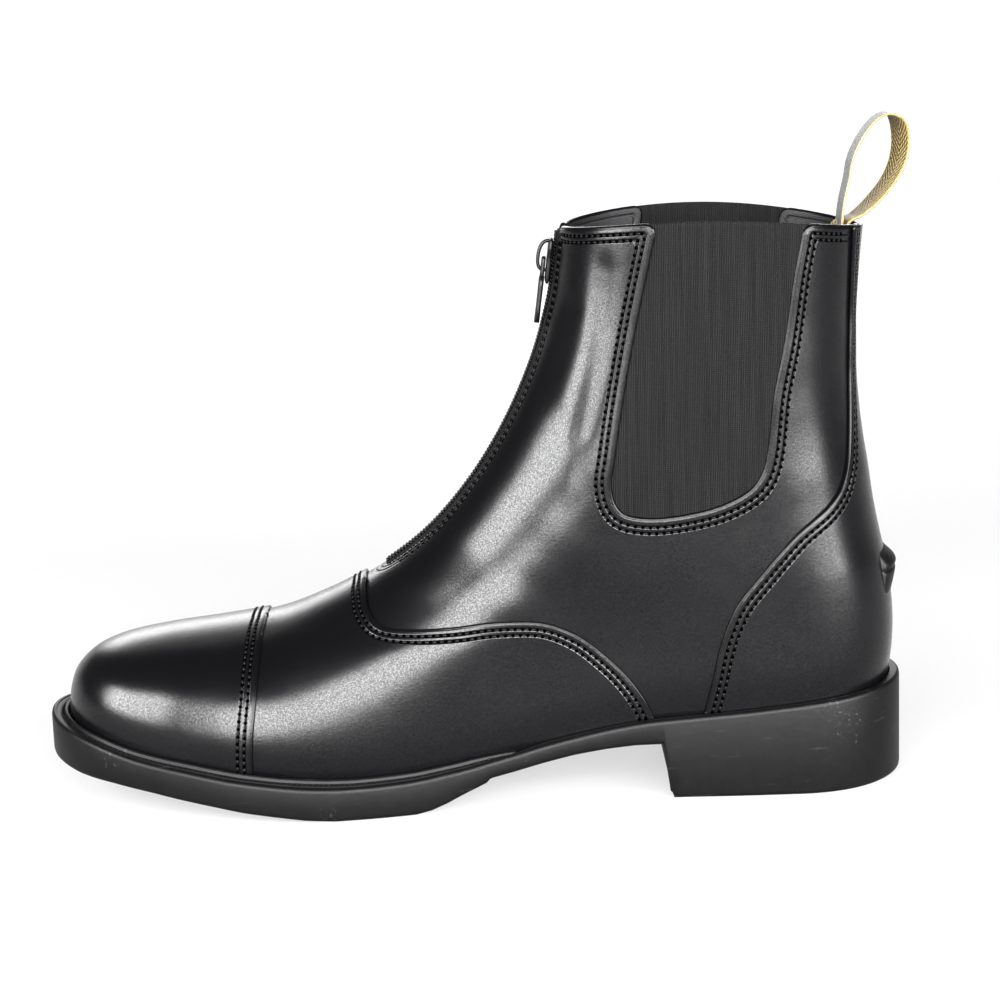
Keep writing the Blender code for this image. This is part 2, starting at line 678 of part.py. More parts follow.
def make_slider():
    """Slider plate over the chain, with the bridge that holds the pull."""
    plate = [
        zip_place(-SLIDER["down"], SLIDER["low"]),
        zip_place(SLIDER["up"], SLIDER["low"]),
        zip_place(SLIDER["up"], SLIDER["high"]),
        zip_place(-SLIDER["down"], SLIDER["high"]),
    ]
    half = SLIDER["half"]
    points = [(p[0], side, p[1]) for side in (-half, half) for p in plate]
    faces = [(0, 3, 2, 1), (4, 5, 6, 7)] + [(j, (j + 1) % 4, 4 + (j + 1) % 4, 4 + j) for j in range(4)]
    slider = add_object("zip_slider", points, faces, "metal", roughness=0.35, metallic=0.9)
    line = np.array([zip_place(along, height) for along, height in BRIDGE])
    along = np.gradient(line, axis=0)
    along /= np.linalg.norm(along, axis=1, keepdims=True)
    outward = np.stack([-along[:, 1], along[:, 0]], 1)
    section = flat_section(BRIDGE_SECTION["half"], BRIDGE_SECTION["thick"] / 2)
    bridge = sweep("zip_bridge", line, outward, section, "metal")
    keep_as_cutter(bridge)
    cut(slider, bridge, "UNION")


def make_pull():
    """Pull tab with a bar in the bridge, two arms and a rounded plate, hung on its hinge."""
    reach, arm, thick = PULL["reach"], PULL["arm"], PULL["thick"]
    window, width, length = PULL["window"], PULL["width"], PULL["length"]
    shoulder = -window - 2.0
    turn = np.linspace(0, math.pi, 9)
    outer = [(-reach, PULL["bar"]), (-reach, -window), (-width, shoulder)]
    outer += [(-width * math.cos(a), width - length - width * math.sin(a)) for a in turn]
    outer += [(width, shoulder), (reach, -window), (reach, PULL["bar"])]
    inner_half = reach - 2 * arm
    hinge = zip_place(0.0, HINGE_HEIGHT)
    holder = bpy.data.objects.new("zip_pull_hinge", None)
    holder.location = (hinge[0] * MM, 0, hinge[1] * MM)
    holder.rotation_euler = (0, math.radians(PULL_LEAN), 0)
    boot_collection.objects.link(holder)
    mesh = drawn_mesh("zip_pull", [(-thick, y, z) for y, z in outer], (2 * thick, 0, 0))
    add_material(mesh, "metal", 0.35, 0.9)
    pull = bpy.data.objects.new("zip_pull", mesh)
    boot_collection.objects.link(pull)
    pull.parent = holder
    bpy.ops.mesh.primitive_cube_add(size=1.0)
    window_cutter = bpy.context.active_object
    window_cutter.name = "zip_pull_window"
    window_cutter.scale = (SLOT_CUT["out"] * MM, 2 * inner_half * MM, (window - PULL["bar"]) * MM)
    window_cutter.location = (0, 0, -(window + PULL["bar"]) / 2 * MM)
    window_cutter.parent = holder
    keep_as_cutter(window_cutter)
    cut(pull, window_cutter, "DIFFERENCE")


def make_loop():
    """The ribbon of the pull loop, both ends inside the back of the collar."""
    route = np.array(LOOP_LINE)
    padded = np.concatenate([[2 * route[0] - route[1]], route, [2 * route[-1] - route[-2]]])
    line = []
    for k in range(1, len(padded) - 2):
        for s in np.arange(LOOP_STEPS) / LOOP_STEPS:
            p0, p1, p2, p3 = padded[k - 1 : k + 3]
            bend = (2 * p0 - 5 * p1 + 4 * p2 - p3) * s**2 + (3 * p1 - p0 - 3 * p2 + p3) * s**3
            line.append(0.5 * (2 * p1 + (p2 - p0) * s + bend))
    line = np.array(line + [route[-1]])
    along = np.gradient(line, axis=0)
    along /= np.linalg.norm(along, axis=1, keepdims=True)
    outward = np.stack([-along[:, 1], along[:, 0]], 1)
    section = flat_section(LOOP_HALF, LOOP_THICK / 2)
    sweep("pull_loop", line, outward, section, "ribbon", roughness=0.8)


def make_spur_rest():
    """A ledge with a rounded nose round the back of the heel, on the counter."""
    angles = np.linspace(-SPUR_REACH, SPUR_REACH, SPUR_COLUMNS)
    seat = 2 * GAP + OVERLAY
    taper = np.sqrt(np.clip(1 - (angles / SPUR_REACH) ** 4, 0, 1))
    levels = np.array([np.interp(z, BACK_Z, LEVEL) for z, _ in SPUR_ROWS])
    level, angle = np.meshgrid(levels, angles, indexing="ij")
    base, normal = boot_point(level, angle), boot_normal(level, angle)
    height = np.array([SPUR_EDGE + (h - SPUR_EDGE) * taper for _, h in SPUR_ROWS])
    outer = base + normal * (seat + height)[..., None]
    inner = base + normal * seat
    rows, columns = len(SPUR_ROWS), SPUR_COLUMNS
    points = np.concatenate([outer.reshape(-1, 3), inner.reshape(-1, 3)])
    second = rows * columns
    faces = grid_faces(rows, columns, False) + grid_faces(rows, columns, False, second)
    edge = [(0, j) for j in range(columns)] + [(i, columns - 1) for i in range(1, rows)]
    edge += [(rows - 1, j) for j in range(columns - 2, -1, -1)] + [(i, 0) for i in range(rows - 2, 0, -1)]
    ring = [i * columns + j for i, j in edge]
    for a, b in zip(ring, ring[1:] + ring[:1]):
        faces += [(a, b, second + b), (a, second + b, second + a)]
    add_object("spur_rest", points, faces, "sole", roughness=0.45)


for old in list(bpy.data.objects):
    bpy.data.objects.remove(old, do_unlink=True)
boot_collection = bpy.data.collections.new("paddock_boot")
cutter_collection = bpy.data.collections.new("cutters")
bpy.context.scene.collection.children.link(boot_collection)
bpy.context.scene.collection.children.link(cutter_collection)

make_outsole()
make_welt()
make_insole()
make_upper()
make_overlays()
make_gussets()
make_zip()
make_slider()
make_pull()
make_loop()
make_spur_rest()
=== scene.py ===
import math

import bpy
import numpy as np
from mathutils import Matrix


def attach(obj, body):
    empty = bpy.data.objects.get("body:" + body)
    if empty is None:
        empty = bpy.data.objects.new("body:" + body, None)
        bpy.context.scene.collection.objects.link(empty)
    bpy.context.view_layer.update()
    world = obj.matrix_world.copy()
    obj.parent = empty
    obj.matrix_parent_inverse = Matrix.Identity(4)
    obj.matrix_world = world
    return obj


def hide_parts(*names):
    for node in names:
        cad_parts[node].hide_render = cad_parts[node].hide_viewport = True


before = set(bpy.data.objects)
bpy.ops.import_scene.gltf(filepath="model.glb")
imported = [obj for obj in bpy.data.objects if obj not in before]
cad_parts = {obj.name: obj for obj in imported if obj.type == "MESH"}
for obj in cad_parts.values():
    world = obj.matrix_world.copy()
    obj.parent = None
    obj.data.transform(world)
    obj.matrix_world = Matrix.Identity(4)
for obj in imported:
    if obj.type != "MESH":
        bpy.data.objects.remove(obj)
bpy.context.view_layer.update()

# All tables and sizes are in millimetres; metres = 0.001 of them, when a mesh is made.
# Toe towards -X, heel towards +X, outer side towards -Y, floor at Z 0.
metres = 0.001
gap = 0.3
wall = 2.0
overlay = 1.3  # top of vamp and counter over the quarters
capTop = 2.2  # top of the toe cap over the quarters
rng = np.random.default_rng(7)

# front x, front z, back x, back z of each ring, from the sole to the collar
rings = [
    (-134.9, 24.7, 137.0, 30.5),
    (-134.6, 31.0, 137.7, 36.0),
    (-132.9, 38.3, 138.5, 43.0),
    (-127.4, 44.6, 138.8, 50.0),
    (-117.0, 49.0, 138.5, 57.0),
    (-101.6, 51.9, 137.8, 64.0),
    (-83.0, 54.2, 136.7, 71.0),
    (-66.0, 57.0, 135.1, 78.0),
    (-48.0, 63.6, 133.4, 86.0),
    (-30.0, 73.0, 132.0, 94.0),
    (-14.0, 84.6, 130.8, 103.0),
    (-1.5, 98.0, 129.2, 113.0),
    (9.5, 113.7, 127.9, 124.0),
    (18.5, 130.7, 127.1, 137.0),
    (25.3, 148.0, 127.1, 151.0),
    (30.0, 166.5, 128.0, 167.0),
    (32.4, 184.0, 129.3, 181.5),
]
# x, centre y, outer half width, inner half width, floor z, dome depth, sole edge, seat edge
foot = [
    (-143.0, 4.5, 39.5, 33.5, 26.0, 22.0, 8.4, 6.8),
    (-125.0, 4.5, 40.0, 34.0, 22.4, 24.0, 8.3, 6.7),
    (-110.0, 4.2, 40.7, 34.8, 18.8, 28.0, 8.2, 6.6),
    (-94.0, 3.6, 42.6, 37.4, 16.2, 31.0, 8.1, 6.5),
    (-74.0, 2.8, 44.1, 40.2, 12.7, 35.0, 7.9, 6.3),
    (-55.0, 1.8, 43.6, 40.9, 10.4, 40.0, 7.8, 6.2),
    (-40.0, 0.8, 41.6, 39.2, 9.7, 44.0, 7.6, 6.0),
    (-24.0, 0.0, 38.3, 36.0, 10.1, 48.0, 7.3, 5.7),
    (-8.0, 0.0, 35.0, 31.5, 11.8, 50.0, 7.0, 5.4),
    (9.0, 0.0, 32.3, 28.3, 15.0, 50.0, 6.5, 4.7),
    (25.0, 0.0, 30.8, 27.0, 18.3, 50.0, 5.6, 2.2),
    (42.0, 0.0, 30.5, 27.0, 21.6, 50.0, 5.0, 2.1),
    (58.0, 0.0, 31.3, 28.3, 24.0, 50.0, 4.6, 2.1),
    (73.0, 0.0, 32.0, 29.8, 25.1, 50.0, 4.4, 2.1),
    (93.0, 0.0, 32.6, 31.2, 26.6, 50.0, 4.4, 2.1),
    (113.0, 0.0, 32.6, 31.8, 28.4, 50.0, 4.6, 2.1),
    (143.0, 0.0, 32.6, 31.8, 30.4, 50.0, 5.4, 2.1),
]
# z, outer half width, inner half width, rounding at the back
shaft = [
    (25.0, 33.0, 31.0, 33.0),
    (60.0, 33.5, 32.0, 35.0),
    (90.0, 33.0, 32.0, 38.0),
    (115.0, 33.5, 33.0, 42.0),
    (150.0, 35.0, 34.5, 46.0),
    (190.0, 36.5, 36.0, 48.0),
]
# x, z of the tread, height of the rim over the sole's floor
tread = [
    (-144.0, 14.2, 2.2),
    (-130.0, 12.4, 2.0),
    (-118.0, 11.4, 1.8),
    (-104.0, 9.4, 1.6),
    (-94.0, 7.5, 1.5),
    (-84.0, 5.6, 1.4),
    (-75.0, 3.7, 1.4),
    (-65.0, 2.1, 1.4),
    (-56.0, 0.8, 1.4),
    (-46.0, 0.0, 1.4),
    (-20.0, 0.0, 1.5),
    (-15.0, 0.9, 1.5),
    (-10.0, 2.7, 1.6),
    (-5.0, 5.0, 1.6),
    (0.0, 7.1, 1.6),
    (3.0, 8.4, 1.7),
    (4.2, 9.7, 1.7),
    (12.0, 11.3, 1.8),
    (22.0, 13.5, 2.1),
    (32.0, 15.6, 2.2),
    (42.0, 17.0, 2.3),
    (52.0, 18.0, 2.4),
    (61.0, 18.2, 2.4),
    (62.8, 0.0, 2.4),
    (144.0, 0.0, 2.9),
]
# seams on the side of the boot, x and z
capEdge = [(-66.8, 61.0), (-69.1, 55.0), (-69.6, 49.0), (-70.5, 38.7), (-71.9, 26.5), (-72.6, 12.0)]
vampEdge = [
    (-31.8, 76.5), (-34.9, 69.6), (-34.7, 66.0), (-33.4, 62.3), (-29.0, 58.8), (-18.5, 58.2),
    (-6.2, 58.9), (6.1, 60.2), (18.6, 60.0), (26.6, 58.2), (34.9, 53.9), (42.8, 47.2), (49.4, 40.3),
    (54.8, 32.4), (58.4, 24.0),
]
counterEdge = [
    (125.2, 185.0), (124.2, 144.4), (123.4, 115.2), (121.3, 102.5), (116.3, 94.6), (104.3, 85.3),
    (92.9, 72.5), (86.0, 63.9), (82.0, 55.3), (79.5, 47.5), (77.6, 39.0), (74.8, 28.0),
]
windowEdge = [
    (62.0, 191.0), (60.2, 182.3), (53.6, 153.0), (48.9, 128.6), (46.3, 112.4), (45.1, 104.3),
    (46.6, 97.2), (51.3, 93.4), (62.0, 92.4), (76.6, 94.6), (87.2, 98.7), (93.3, 104.0),
    (96.4, 112.6), (98.8, 131.0), (102.5, 148.0), (105.8, 168.6), (108.2, 180.4), (109.9, 191.0),
]
# soft creases: first x, z, second x, z, width, depth (minus is a ridge), side (-1 outer, 1 inner, 0 both)
creases = [
    (45.5, 172.0, 36.5, 122.0, 3.2, 0.62, 0),
    (36.5, 108.0, 33.0, 98.0, 3.6, 0.10, 0),
    (34.0, 158.0, 25.0, 132.0, 3.8, 0.50, 0),
    (29.0, 122.0, 19.0, 108.0, 5.0, 0.14, -1),
    (8.0, 100.0, 34.0, 84.0, 7.0, -0.20, 0),
    (-6.0, 84.0, 22.0, 70.0, 6.0, 0.24, 0),
    (-20.0, 72.0, 8.0, 66.0, 5.0, -0.15, -1),
]


# A smooth curve through one column of a table: cubic pieces whose slopes are the
# harmonic means of the neighbouring ones, so that it never overshoots a row.
def curveAt(table, column, at):
    x = np.array([row[0] for row in table], float)
    y = np.array([row[column] for row in table], float)
    step = np.diff(x)
    slope = np.diff(y) / step
    tangent = np.zeros_like(y)
    tangent[0], tangent[-1] = slope[0], slope[-1]
    same = slope[:-1] * slope[1:] > 0
    total = np.where(same, slope[:-1] + slope[1:], 1.0)
    tangent[1:-1] = np.where(same, 2 * slope[:-1] * slope[1:] / total, 0.0)
    at = np.clip(at, x[0], x[-1])
    left = np.clip(np.searchsorted(x, at) - 1, 0, len(x) - 2)
    s = (at - x[left]) / step[left]
    start = y[left] * (1 + 2 * s) * (1 - s) ** 2 + tangent[left] * step[left] * s * (1 - s) ** 2
    end = y[left + 1] * s * s * (3 - 2 * s) + tangent[left + 1] * step[left] * s * s * (s - 1)
    return start + end


# Vectors of length one.
def unit(vectors):
    return vectors / np.maximum(np.linalg.norm(vectors, axis=-1, keepdims=True), 1e-12)


# Length along a line from its first point to each of its points.
def runOf(line):
    return np.concatenate([[0], np.cumsum(np.linalg.norm(np.diff(line, axis=0), axis=1))])


# Both sides of the boot: side -1 is the outer one, where y is negative, 1 the inner one.
sides = ((-1, "outer"), (1, "inner"))
ringRows = [(k / (len(rings) - 1),) + ring for k, ring in enumerate(rings)]
levelAt = np.linspace(0.0, 1.0, 1601)
frontX, frontZ, backX, backZ = (curveAt(ringRows, column, levelAt) for column in range(1, 5))
topSlope = (frontZ[-1] - frontZ[-20]) / (frontX[-1] - frontX[-20])
longX = np.append(frontX, frontX[-1] + 60.0)
longZ = np.append(frontZ, frontZ[-1] + 60.0 * topSlope)


# Height of the upper's bottom edge: the sole's floor and a small gap.
def bottomAt(x):
    return curveAt(foot, 4, x) + gap


lastShape = {
    "nose": 50.0,  # depth of the round cap behind the front line
    "powers": (2.4, 2.2),  # of the round cap at the front and at the back
    "tuck": (0.035, 8.0),  # share of the width at the sole, and its height
    "shaft": (45.0, 65.0),  # z where the shaft's table starts to take over, and over what height
    "arch": 4.0,  # of the collar
}


# Half widths of the last: table width times a round cap at the front and top, times one
# at the back, times a slight tuck at the sole; shaft and foot tables blend with height.
def widthsAt(x, z):
    behind = np.maximum(x - np.interp(z, longZ, longX), 1e-9)
    below = np.maximum(np.interp(x, longX, longZ) - z, 1e-9)
    depth = 1 / np.sqrt((lastShape["nose"] / behind) ** 2 + (curveAt(foot, 5, x) / below) ** 2)
    before = (np.interp(z, backZ, backX) - x) / curveAt(shaft, 3, z)
    front = np.sqrt(1 - (1 - np.minimum(depth, 1)) ** lastShape["powers"][0])
    back = np.sqrt(1 - (1 - np.clip(before, 0, 1)) ** lastShape["powers"][1])
    share, tall = lastShape["tuck"]
    tuck = 1 - share * np.exp(-(((z - bottomAt(x)) / tall) ** 2))
    start, over = lastShape["shaft"]
    rise = np.clip((z - start) / over, 0, 1)
    rise = rise * rise * (3 - 2 * rise)
    cap = front * back * tuck
    outer = (1 - rise) * curveAt(foot, 2, x) + rise * curveAt(shaft, 1, z)
    inner = (1 - rise) * curveAt(foot, 3, x) + rise * curveAt(shaft, 2, z)
    return curveAt(foot, 1, x) * (1 - rise), outer * cap, inner * cap


# x and z of the surface: from the front line to the back line by the cosine of the angle,
# with the sag of the sole at the bottom and a slight arch at the collar.
def sideAt(level, back):
    lines = (frontX, frontZ, backX, backZ)
    fx, fz, bx, bz = (np.interp(level, levelAt, line) for line in lines)
    x = fx + (bx - fx) * back
    sag = bottomAt(x) - bottomAt(fx) * (1 - back) - bottomAt(bx) * back
    arch = lastShape["arch"] * np.sin(np.pi * back) * level**6
    return x, fz + (bz - fz) * back + sag * (1 - level) ** 2 + arch


# The point of the surface at a level (0 sole, 1 collar) and an angle (0 heel, pi front,
# positive on the outer side).
def shapeAt(level, angle):
    x, z = sideAt(level, (1 + np.cos(angle)) / 2)
    centre, outer, inner = widthsAt(x, z)
    y = centre + np.where(np.sin(angle) >= 0, -outer, inner)
    return np.stack([x, y, z], -1)


# The outward direction: the cross product of small steps along and up the surface.
def normalAt(level, angle):
    e = 2e-4
    up = shapeAt(np.clip(level + e, 0, 1), angle) - shapeAt(np.clip(level - e, 0, 1), angle)
    along = shapeAt(level, angle - 3 * e) - shapeAt(level, angle + 3 * e)
    return unit(np.cross(along, up))


# Depth of the creases: each is a bell across its line, fading out past both ends.
def creaseAt(points):
    x, y, z = points[:, 0], points[:, 1], points[:, 2]
    height = np.zeros(len(points))
    for x0, z0, x1, z1, width, depth, side in creases:
        length = math.hypot(x1 - x0, z1 - z0)
        ux, uz = (x1 - x0) / length, (z1 - z0) / length
        along = (x - x0) * ux + (z - z0) * uz
        over = np.maximum(np.maximum(-along, along - length), 0)
        across = (x - x0) * uz - (z - z0) * ux + 1.5 * np.sin(along / length * 3.1)
        bell = np.exp(-((across / width) ** 2) - (over / (1.6 * width)) ** 2)
        height -= depth * bell * (1.0 if side == 0 else np.clip(side * y / 6.0, 0, 1))
    return height


# Points and normals of the leather at a height over the plain surface, creases included.
def skin(values, height=0.0):
    points = shapeAt(values[:, 0], values[:, 1])
    normals = normalAt(values[:, 0], values[:, 1])
    return points + normals * (height + creaseAt(points))[:, None], normals


# Level and angle of a place given by x and z: the level is found by halving an interval.
def locate(x, z, side=-1):
    low, high = np.zeros_like(x), np.ones_like(x)
    for _ in range(40):
        middle = (low + high) / 2
        fx, bx = np.interp(middle, levelAt, frontX), np.interp(middle, levelAt, backX)
        back = np.clip((x - fx) / (bx - fx), 0, 1)
        above = sideAt(middle, back)[1] > z
        low, high = np.where(above, low, middle), np.where(above, middle, high)
    angle = np.arccos(np.clip(2 * back - 1, -1, 1))
    return np.stack([low, angle * (1 if side < 0 else -1)], -1)


# A Catmull-Rom curve through a table of points, in steps of about a given length.
def smoothLine(table, step=1.0):
    p = np.array(table, float)
    p = np.concatenate([[2 * p[0] - p[1]], p, [2 * p[-1] - p[-2]]])
    out = []
    for a, b, c, d in zip(p[:-3], p[1:-2], p[2:-1], p[3:]):
        s = np.linspace(0, 1, max(2, int(np.linalg.norm(c - b) / step) + 1))[:-1, None]
        bend = (2 * a - 5 * b + 4 * c - d) * s**2 + (3 * b - a - 3 * c + d) * s**3
        out.append(0.5 * (2 * b + (c - a) * s + bend))
    return np.concatenate(out + [p[-2:-1]])


# A seam as points of the surface: the places inside the side outline, on one side or both.
def seamPoints(table, sides):
    line = smoothLine(table)
    x, z = line[:, 0], line[:, 1]
    shown = (x > np.interp(z, longZ, longX) + 0.05) & (z < 186.0)
    halves = []
    for side in sides:
        place = locate(x[shown], z[shown], side)
        half = shapeAt(place[:, 0], place[:, 1])
        halves.append(half[::-1] if side < 0 else half)
    return np.concatenate(halves)


# Distance of each point to a line: the least over its segments.
def distanceTo(points, line):
    best = np.full(len(points), 1e9)
    for p, q in zip(line[:-1], line[1:]):
        d = q - p
        s = np.clip((points - p) @ d / max(d @ d, 1e-12), 0, 1)
        best = np.minimum(best, ((points - p - s[:, None] * d) ** 2).sum(1))
    return np.sqrt(best)


# Whether places lie inside an outline: an odd number of its edges is crossed on the way out.
def insideOf(x, z, outline):
    inside = np.zeros(len(x), bool)
    for (x0, z0), (x1, z1) in zip(outline, list(outline[1:]) + [outline[0]]):
        if z0 != z1:
            cross = x0 + (z - z0) * (x1 - x0) / (z1 - z0)
            inside ^= ((z0 > z) != (z1 > z)) & (x < cross)
    return inside


# The smaller of two distances, with a round corner of a given radius where both are small.
def roundMin(a, b, radius):
    corner = np.hypot(np.maximum(radius - a, 0), np.maximum(radius - b, 0))
    return np.where((a < radius) & (b < radius), radius - corner, np.minimum(a, b))


# Triangles of a grid of rows and columns, facing out.
def gridTriangles(rows, columns):
    a = (np.arange(rows - 1)[:, None] * columns + np.arange(columns - 1)).ravel()
    b, c, d = a + 1, a + columns + 1, a + columns
    return np.concatenate([np.stack([a, d, c], 1), np.stack([a, c, b], 1)])


# Quads between closed rings of one size, one ring after the other.
def ringQuads(rows, size, turned=False):
    here = np.arange(rows - 1)[:, None] * size
    a = (here + np.arange(size)).ravel()
    b = (here + (np.arange(size) + 1) % size).ravel()
    return np.stack([a, a + size, b + size, b] if turned else [a, b, b + size, a + size], 1)


# Faces of a row of closed sections, with both ends closed.
def tubeFaces(rows, size, flip=False):
    ends = [list(range(size))[::-1], list(range((rows - 1) * size, rows * size))]
    faces = ringQuads(rows, size).tolist() + ends
    return [face[::-1] for face in faces] if flip else faces


# Joins pairs of points and faces into one list of each.
def joinParts(parts):
    points, faces, base = [], [], 0
    for some, polygons in parts:
        points.append(some)
        faces += [[v + base for v in face] for face in polygons]
        base += len(some)
    return np.concatenate(points), faces


# Level, angle and field of each place of a grid, and the grid's triangles.
def gridField(levels, angles, fieldOf):
    level, angle = (a.ravel() for a in np.meshgrid(levels, angles, indexing="ij"))
    field = fieldOf(shapeAt(level, angle))
    return np.stack([level, angle, field], 1), gridTriangles(len(levels), len(angles))


# Cuts triangles where a field is zero and keeps its positive side: a cut edge gets a new
# vertex at the zero of the straight line between its two values.
def clipTriangles(values, triangles, field):
    inside = field > 0
    count = inside[triangles].sum(1)
    total = len(values)
    keys, pieces = [], [triangles[count == 3]]
    for want in (1, 2):
        some = triangles[count == want]
        odd = inside[some] if want == 1 else ~inside[some]
        turn, row = odd.argmax(1), np.arange(len(some))
        a, b, c = (some[row, (turn + k) % 3] for k in range(3))
        keys.append((want, a, b, c))
    pair = [np.stack([a, other], 1) for _, a, b, c in keys for other in (b, c)]
    pair = np.sort(np.concatenate(pair), 1)
    edges, index = np.unique(pair, axis=0, return_inverse=True)
    index = index.reshape(-1) + total
    first, second = field[edges[:, 0]], field[edges[:, 1]]
    share = (first / (first - second))[:, None]
    values = np.concatenate([values, values[edges[:, 0]] * (1 - share) + values[edges[:, 1]] * share])
    sizes = np.cumsum([0] + [len(k[1]) for k in keys for _ in (0, 1)])
    ab1, ac1, ab2, ac2 = (index[sizes[k] : sizes[k + 1]] for k in range(4))
    (_, a1, _, _), (_, _, b2, c2) = keys
    pieces += [np.stack([a1, ab1, ac1], 1), np.stack([ab2, b2, c2], 1), np.stack([ab2, c2, ac2], 1)]
    triangles = np.concatenate(pieces)
    used, back = np.unique(triangles, return_inverse=True)
    return values[used], back.reshape(-1, 3), used >= total


# Edges that only one triangle uses, in the direction that triangle gives them.
def rimEdges(triangles):
    edges = np.concatenate([triangles[:, [0, 1]], triangles[:, [1, 2]], triangles[:, [2, 0]]])
    key = np.sort(edges, 1)
    _, index, count = np.unique(key, axis=0, return_inverse=True, return_counts=True)
    return edges[count[index.reshape(-1)] == 1]


# Joins directed edges into runs of vertices.
def chains(edges):
    follow = dict(edges.tolist())
    starts = [v for v in follow if v not in set(follow.values())]
    runs = []
    while follow:
        start = starts.pop() if starts else next(iter(follow))
        run = [start]
        while run[-1] in follow:
            run.append(follow.pop(run[-1]))
        runs.append(np.array(run))
    return runs


# An object at the origin with its place in its mesh, riding on a body, from points in
# millimetres; fields are attributes of the points.
def makeObject(name, points, faces, material, body="boot", slot="leather", sharp=None, fields=None):
    mesh = bpy.data.meshes.new(name)
    if isinstance(faces, np.ndarray):
        faces = faces.tolist()
    mesh.from_pydata((np.asarray(points) * metres).tolist(), [], faces)
    mesh.shade_smooth()
    if sharp is not None:
        mesh.set_sharp_from_angle(angle=math.radians(sharp))
    for key, value in (fields or {}).items():
        attribute = mesh.attributes.new(key, "FLOAT", "POINT")
        attribute.data.foreach_set("value", np.asarray(value, np.float32))
    mesh.materials.append(material)
    made = bpy.data.objects.new(name, mesh)
    bpy.context.scene.collection.objects.link(made)
    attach(made, body)
    return made


# A panel of leather: its field's positive side of a grid, at a height over the surface, with
# a half-round edge drawn down to its thickness, and its back too if that can be seen.
def makePanel(name, levels, angles, fieldOf, shape, material, both=False, slot="leather"):
    height, thick, edge = shape["top"], shape["thick"], shape["edge"]
    values, triangles = gridField(levels, angles, fieldOf)
    values, triangles, _ = clipTriangles(values, triangles, values[:, 2])
    points, normals = skin(values, height)
    edges = rimEdges(triangles)
    rim = np.unique(edges)
    along = np.zeros_like(points)
    step = points[edges[:, 1]] - points[edges[:, 0]]
    np.add.at(along, edges[:, 0], step)
    np.add.at(along, edges[:, 1], step)
    out = unit(np.cross(along[rim], normals[rim]))
    turn = np.linspace(0, math.pi / 2, 4)[1:]
    profile = [(edge * math.sin(t), -edge * (1 - math.cos(t))) for t in turn]
    profile += [(x, -thick - y) for x, y in profile[::-1]] + [(0.0, -thick)]
    place = np.full(len(points), -1)
    place[rim] = np.arange(len(rim))
    layers = [points] + [points[rim] + out * x + normals[rim] * y for x, y in profile]
    starts = len(points) + np.arange(len(profile)) * len(rim)
    u, v = place[edges[:, 0]], place[edges[:, 1]]
    rows = [np.stack([edges[:, 1], edges[:, 0], starts[0] + u, starts[0] + v], 1)]
    rows += [np.stack([a + v, a + u, b + u, b + v], 1) for a, b in zip(starts[:-1], starts[1:])]
    faces = triangles.tolist() + np.concatenate(rows).tolist()
    seam = [values[:, 2]] + [values[rim, 2] - x for x, _ in profile]
    if both:
        first = sum(len(layer) for layer in layers)
        layers.append(points - normals * thick)
        seam.append(values[:, 2])
        faces += (triangles[:, ::-1] + first).tolist()
    points = np.concatenate(layers)
    return makeObject(name, points, faces, material, slot=slot, fields={"seam": np.concatenate(seam)})


threadShape = {
    "pitch": 2.4,
    "length": 1.5,
    "width": 0.36,
    "height": 0.26,
    "over": 0.08,  # middle of a stitch over the leather
    "sink": 0.30,  # how far its ends dip
    # radius of the black disc at each stitch hole, which is painted shade of the hole
    "hole": 0.62,  # radius
    "holeOver": 0.06,
    "sway": 0.02,
    "shortest": 6.0,  # row
}
# share of the half length, and fatness, of the sections of a stitch
threadSections = np.array([(-1.0, 0.55), (-0.62, 0.9), (0.0, 1.0), (0.62, 0.9), (1.0, 0.55)])
threadSides, holeSides, beside = 6, 8, 0.3


# Stitches along a line: every one is a small spindle that dips at both ends, with a black disc
# between it and the next, painted shade of the stitch hole there. All are placed at once from one template.
def stitchMesh(points, normals, shape):
    length = runOf(points)
    count = max(int(length[-1] / shape["pitch"]), 1)
    space = length[-1] / count

    def pick(rows, at):
        return np.stack([np.interp(at, length, rows[:, k]) for k in range(3)], 1)

    def aheadAt(at):
        return pick(points, at + beside) - pick(points, at - beside)

    at = (np.arange(count) + 0.5) * space
    centre, up = pick(points, at)[:, None], pick(normals, at)
    ahead = aheadAt(at)
    ahead = unit(ahead + rng.normal(0, shape["sway"], ahead.shape))
    side = np.cross(up, ahead)
    ring = np.arange(threadSides) * 2 * math.pi / threadSides
    stations, fat = np.repeat(threadSections[:, 0], threadSides), threadSections[:, 1:]
    x = stations * shape["length"] / 2
    y = (fat * np.cos(ring) * shape["width"]).ravel()
    z = (fat * np.sin(ring) * shape["height"]).ravel() + shape["over"] - stations**2 * shape["sink"]
    body = centre + sum(k[:, None] * way[:, None] for k, way in ((x, ahead), (y, side), (z, up)))
    offset = (np.arange(count) * len(x))[:, None, None]
    faces = (ringQuads(len(threadSections), threadSides) + offset).reshape(-1, 4).tolist()
    caps = np.stack([np.arange(threadSides)[::-1], np.arange(len(x) - threadSides, len(x))])
    faces += (caps + offset).reshape(-1, threadSides).tolist()
    at = np.arange(count + 1) * space
    middle, rise = pick(points, at)[:, None], pick(normals, at)
    first = unit(np.cross(rise, aheadAt(at)))
    second = np.cross(rise, first)[:, None]
    spin = np.arange(holeSides)[:, None] * 2 * math.pi / holeSides
    rim = middle + shape["hole"] * (np.cos(spin) * first[:, None] + np.sin(spin) * second)
    rim = rim + shape["holeOver"] * rise[:, None]
    holes = (np.arange(holeSides) + (np.arange(count + 1) * holeSides)[:, None]).tolist()
    return body.reshape(-1, 3), faces, rim.reshape(-1, 3), holes


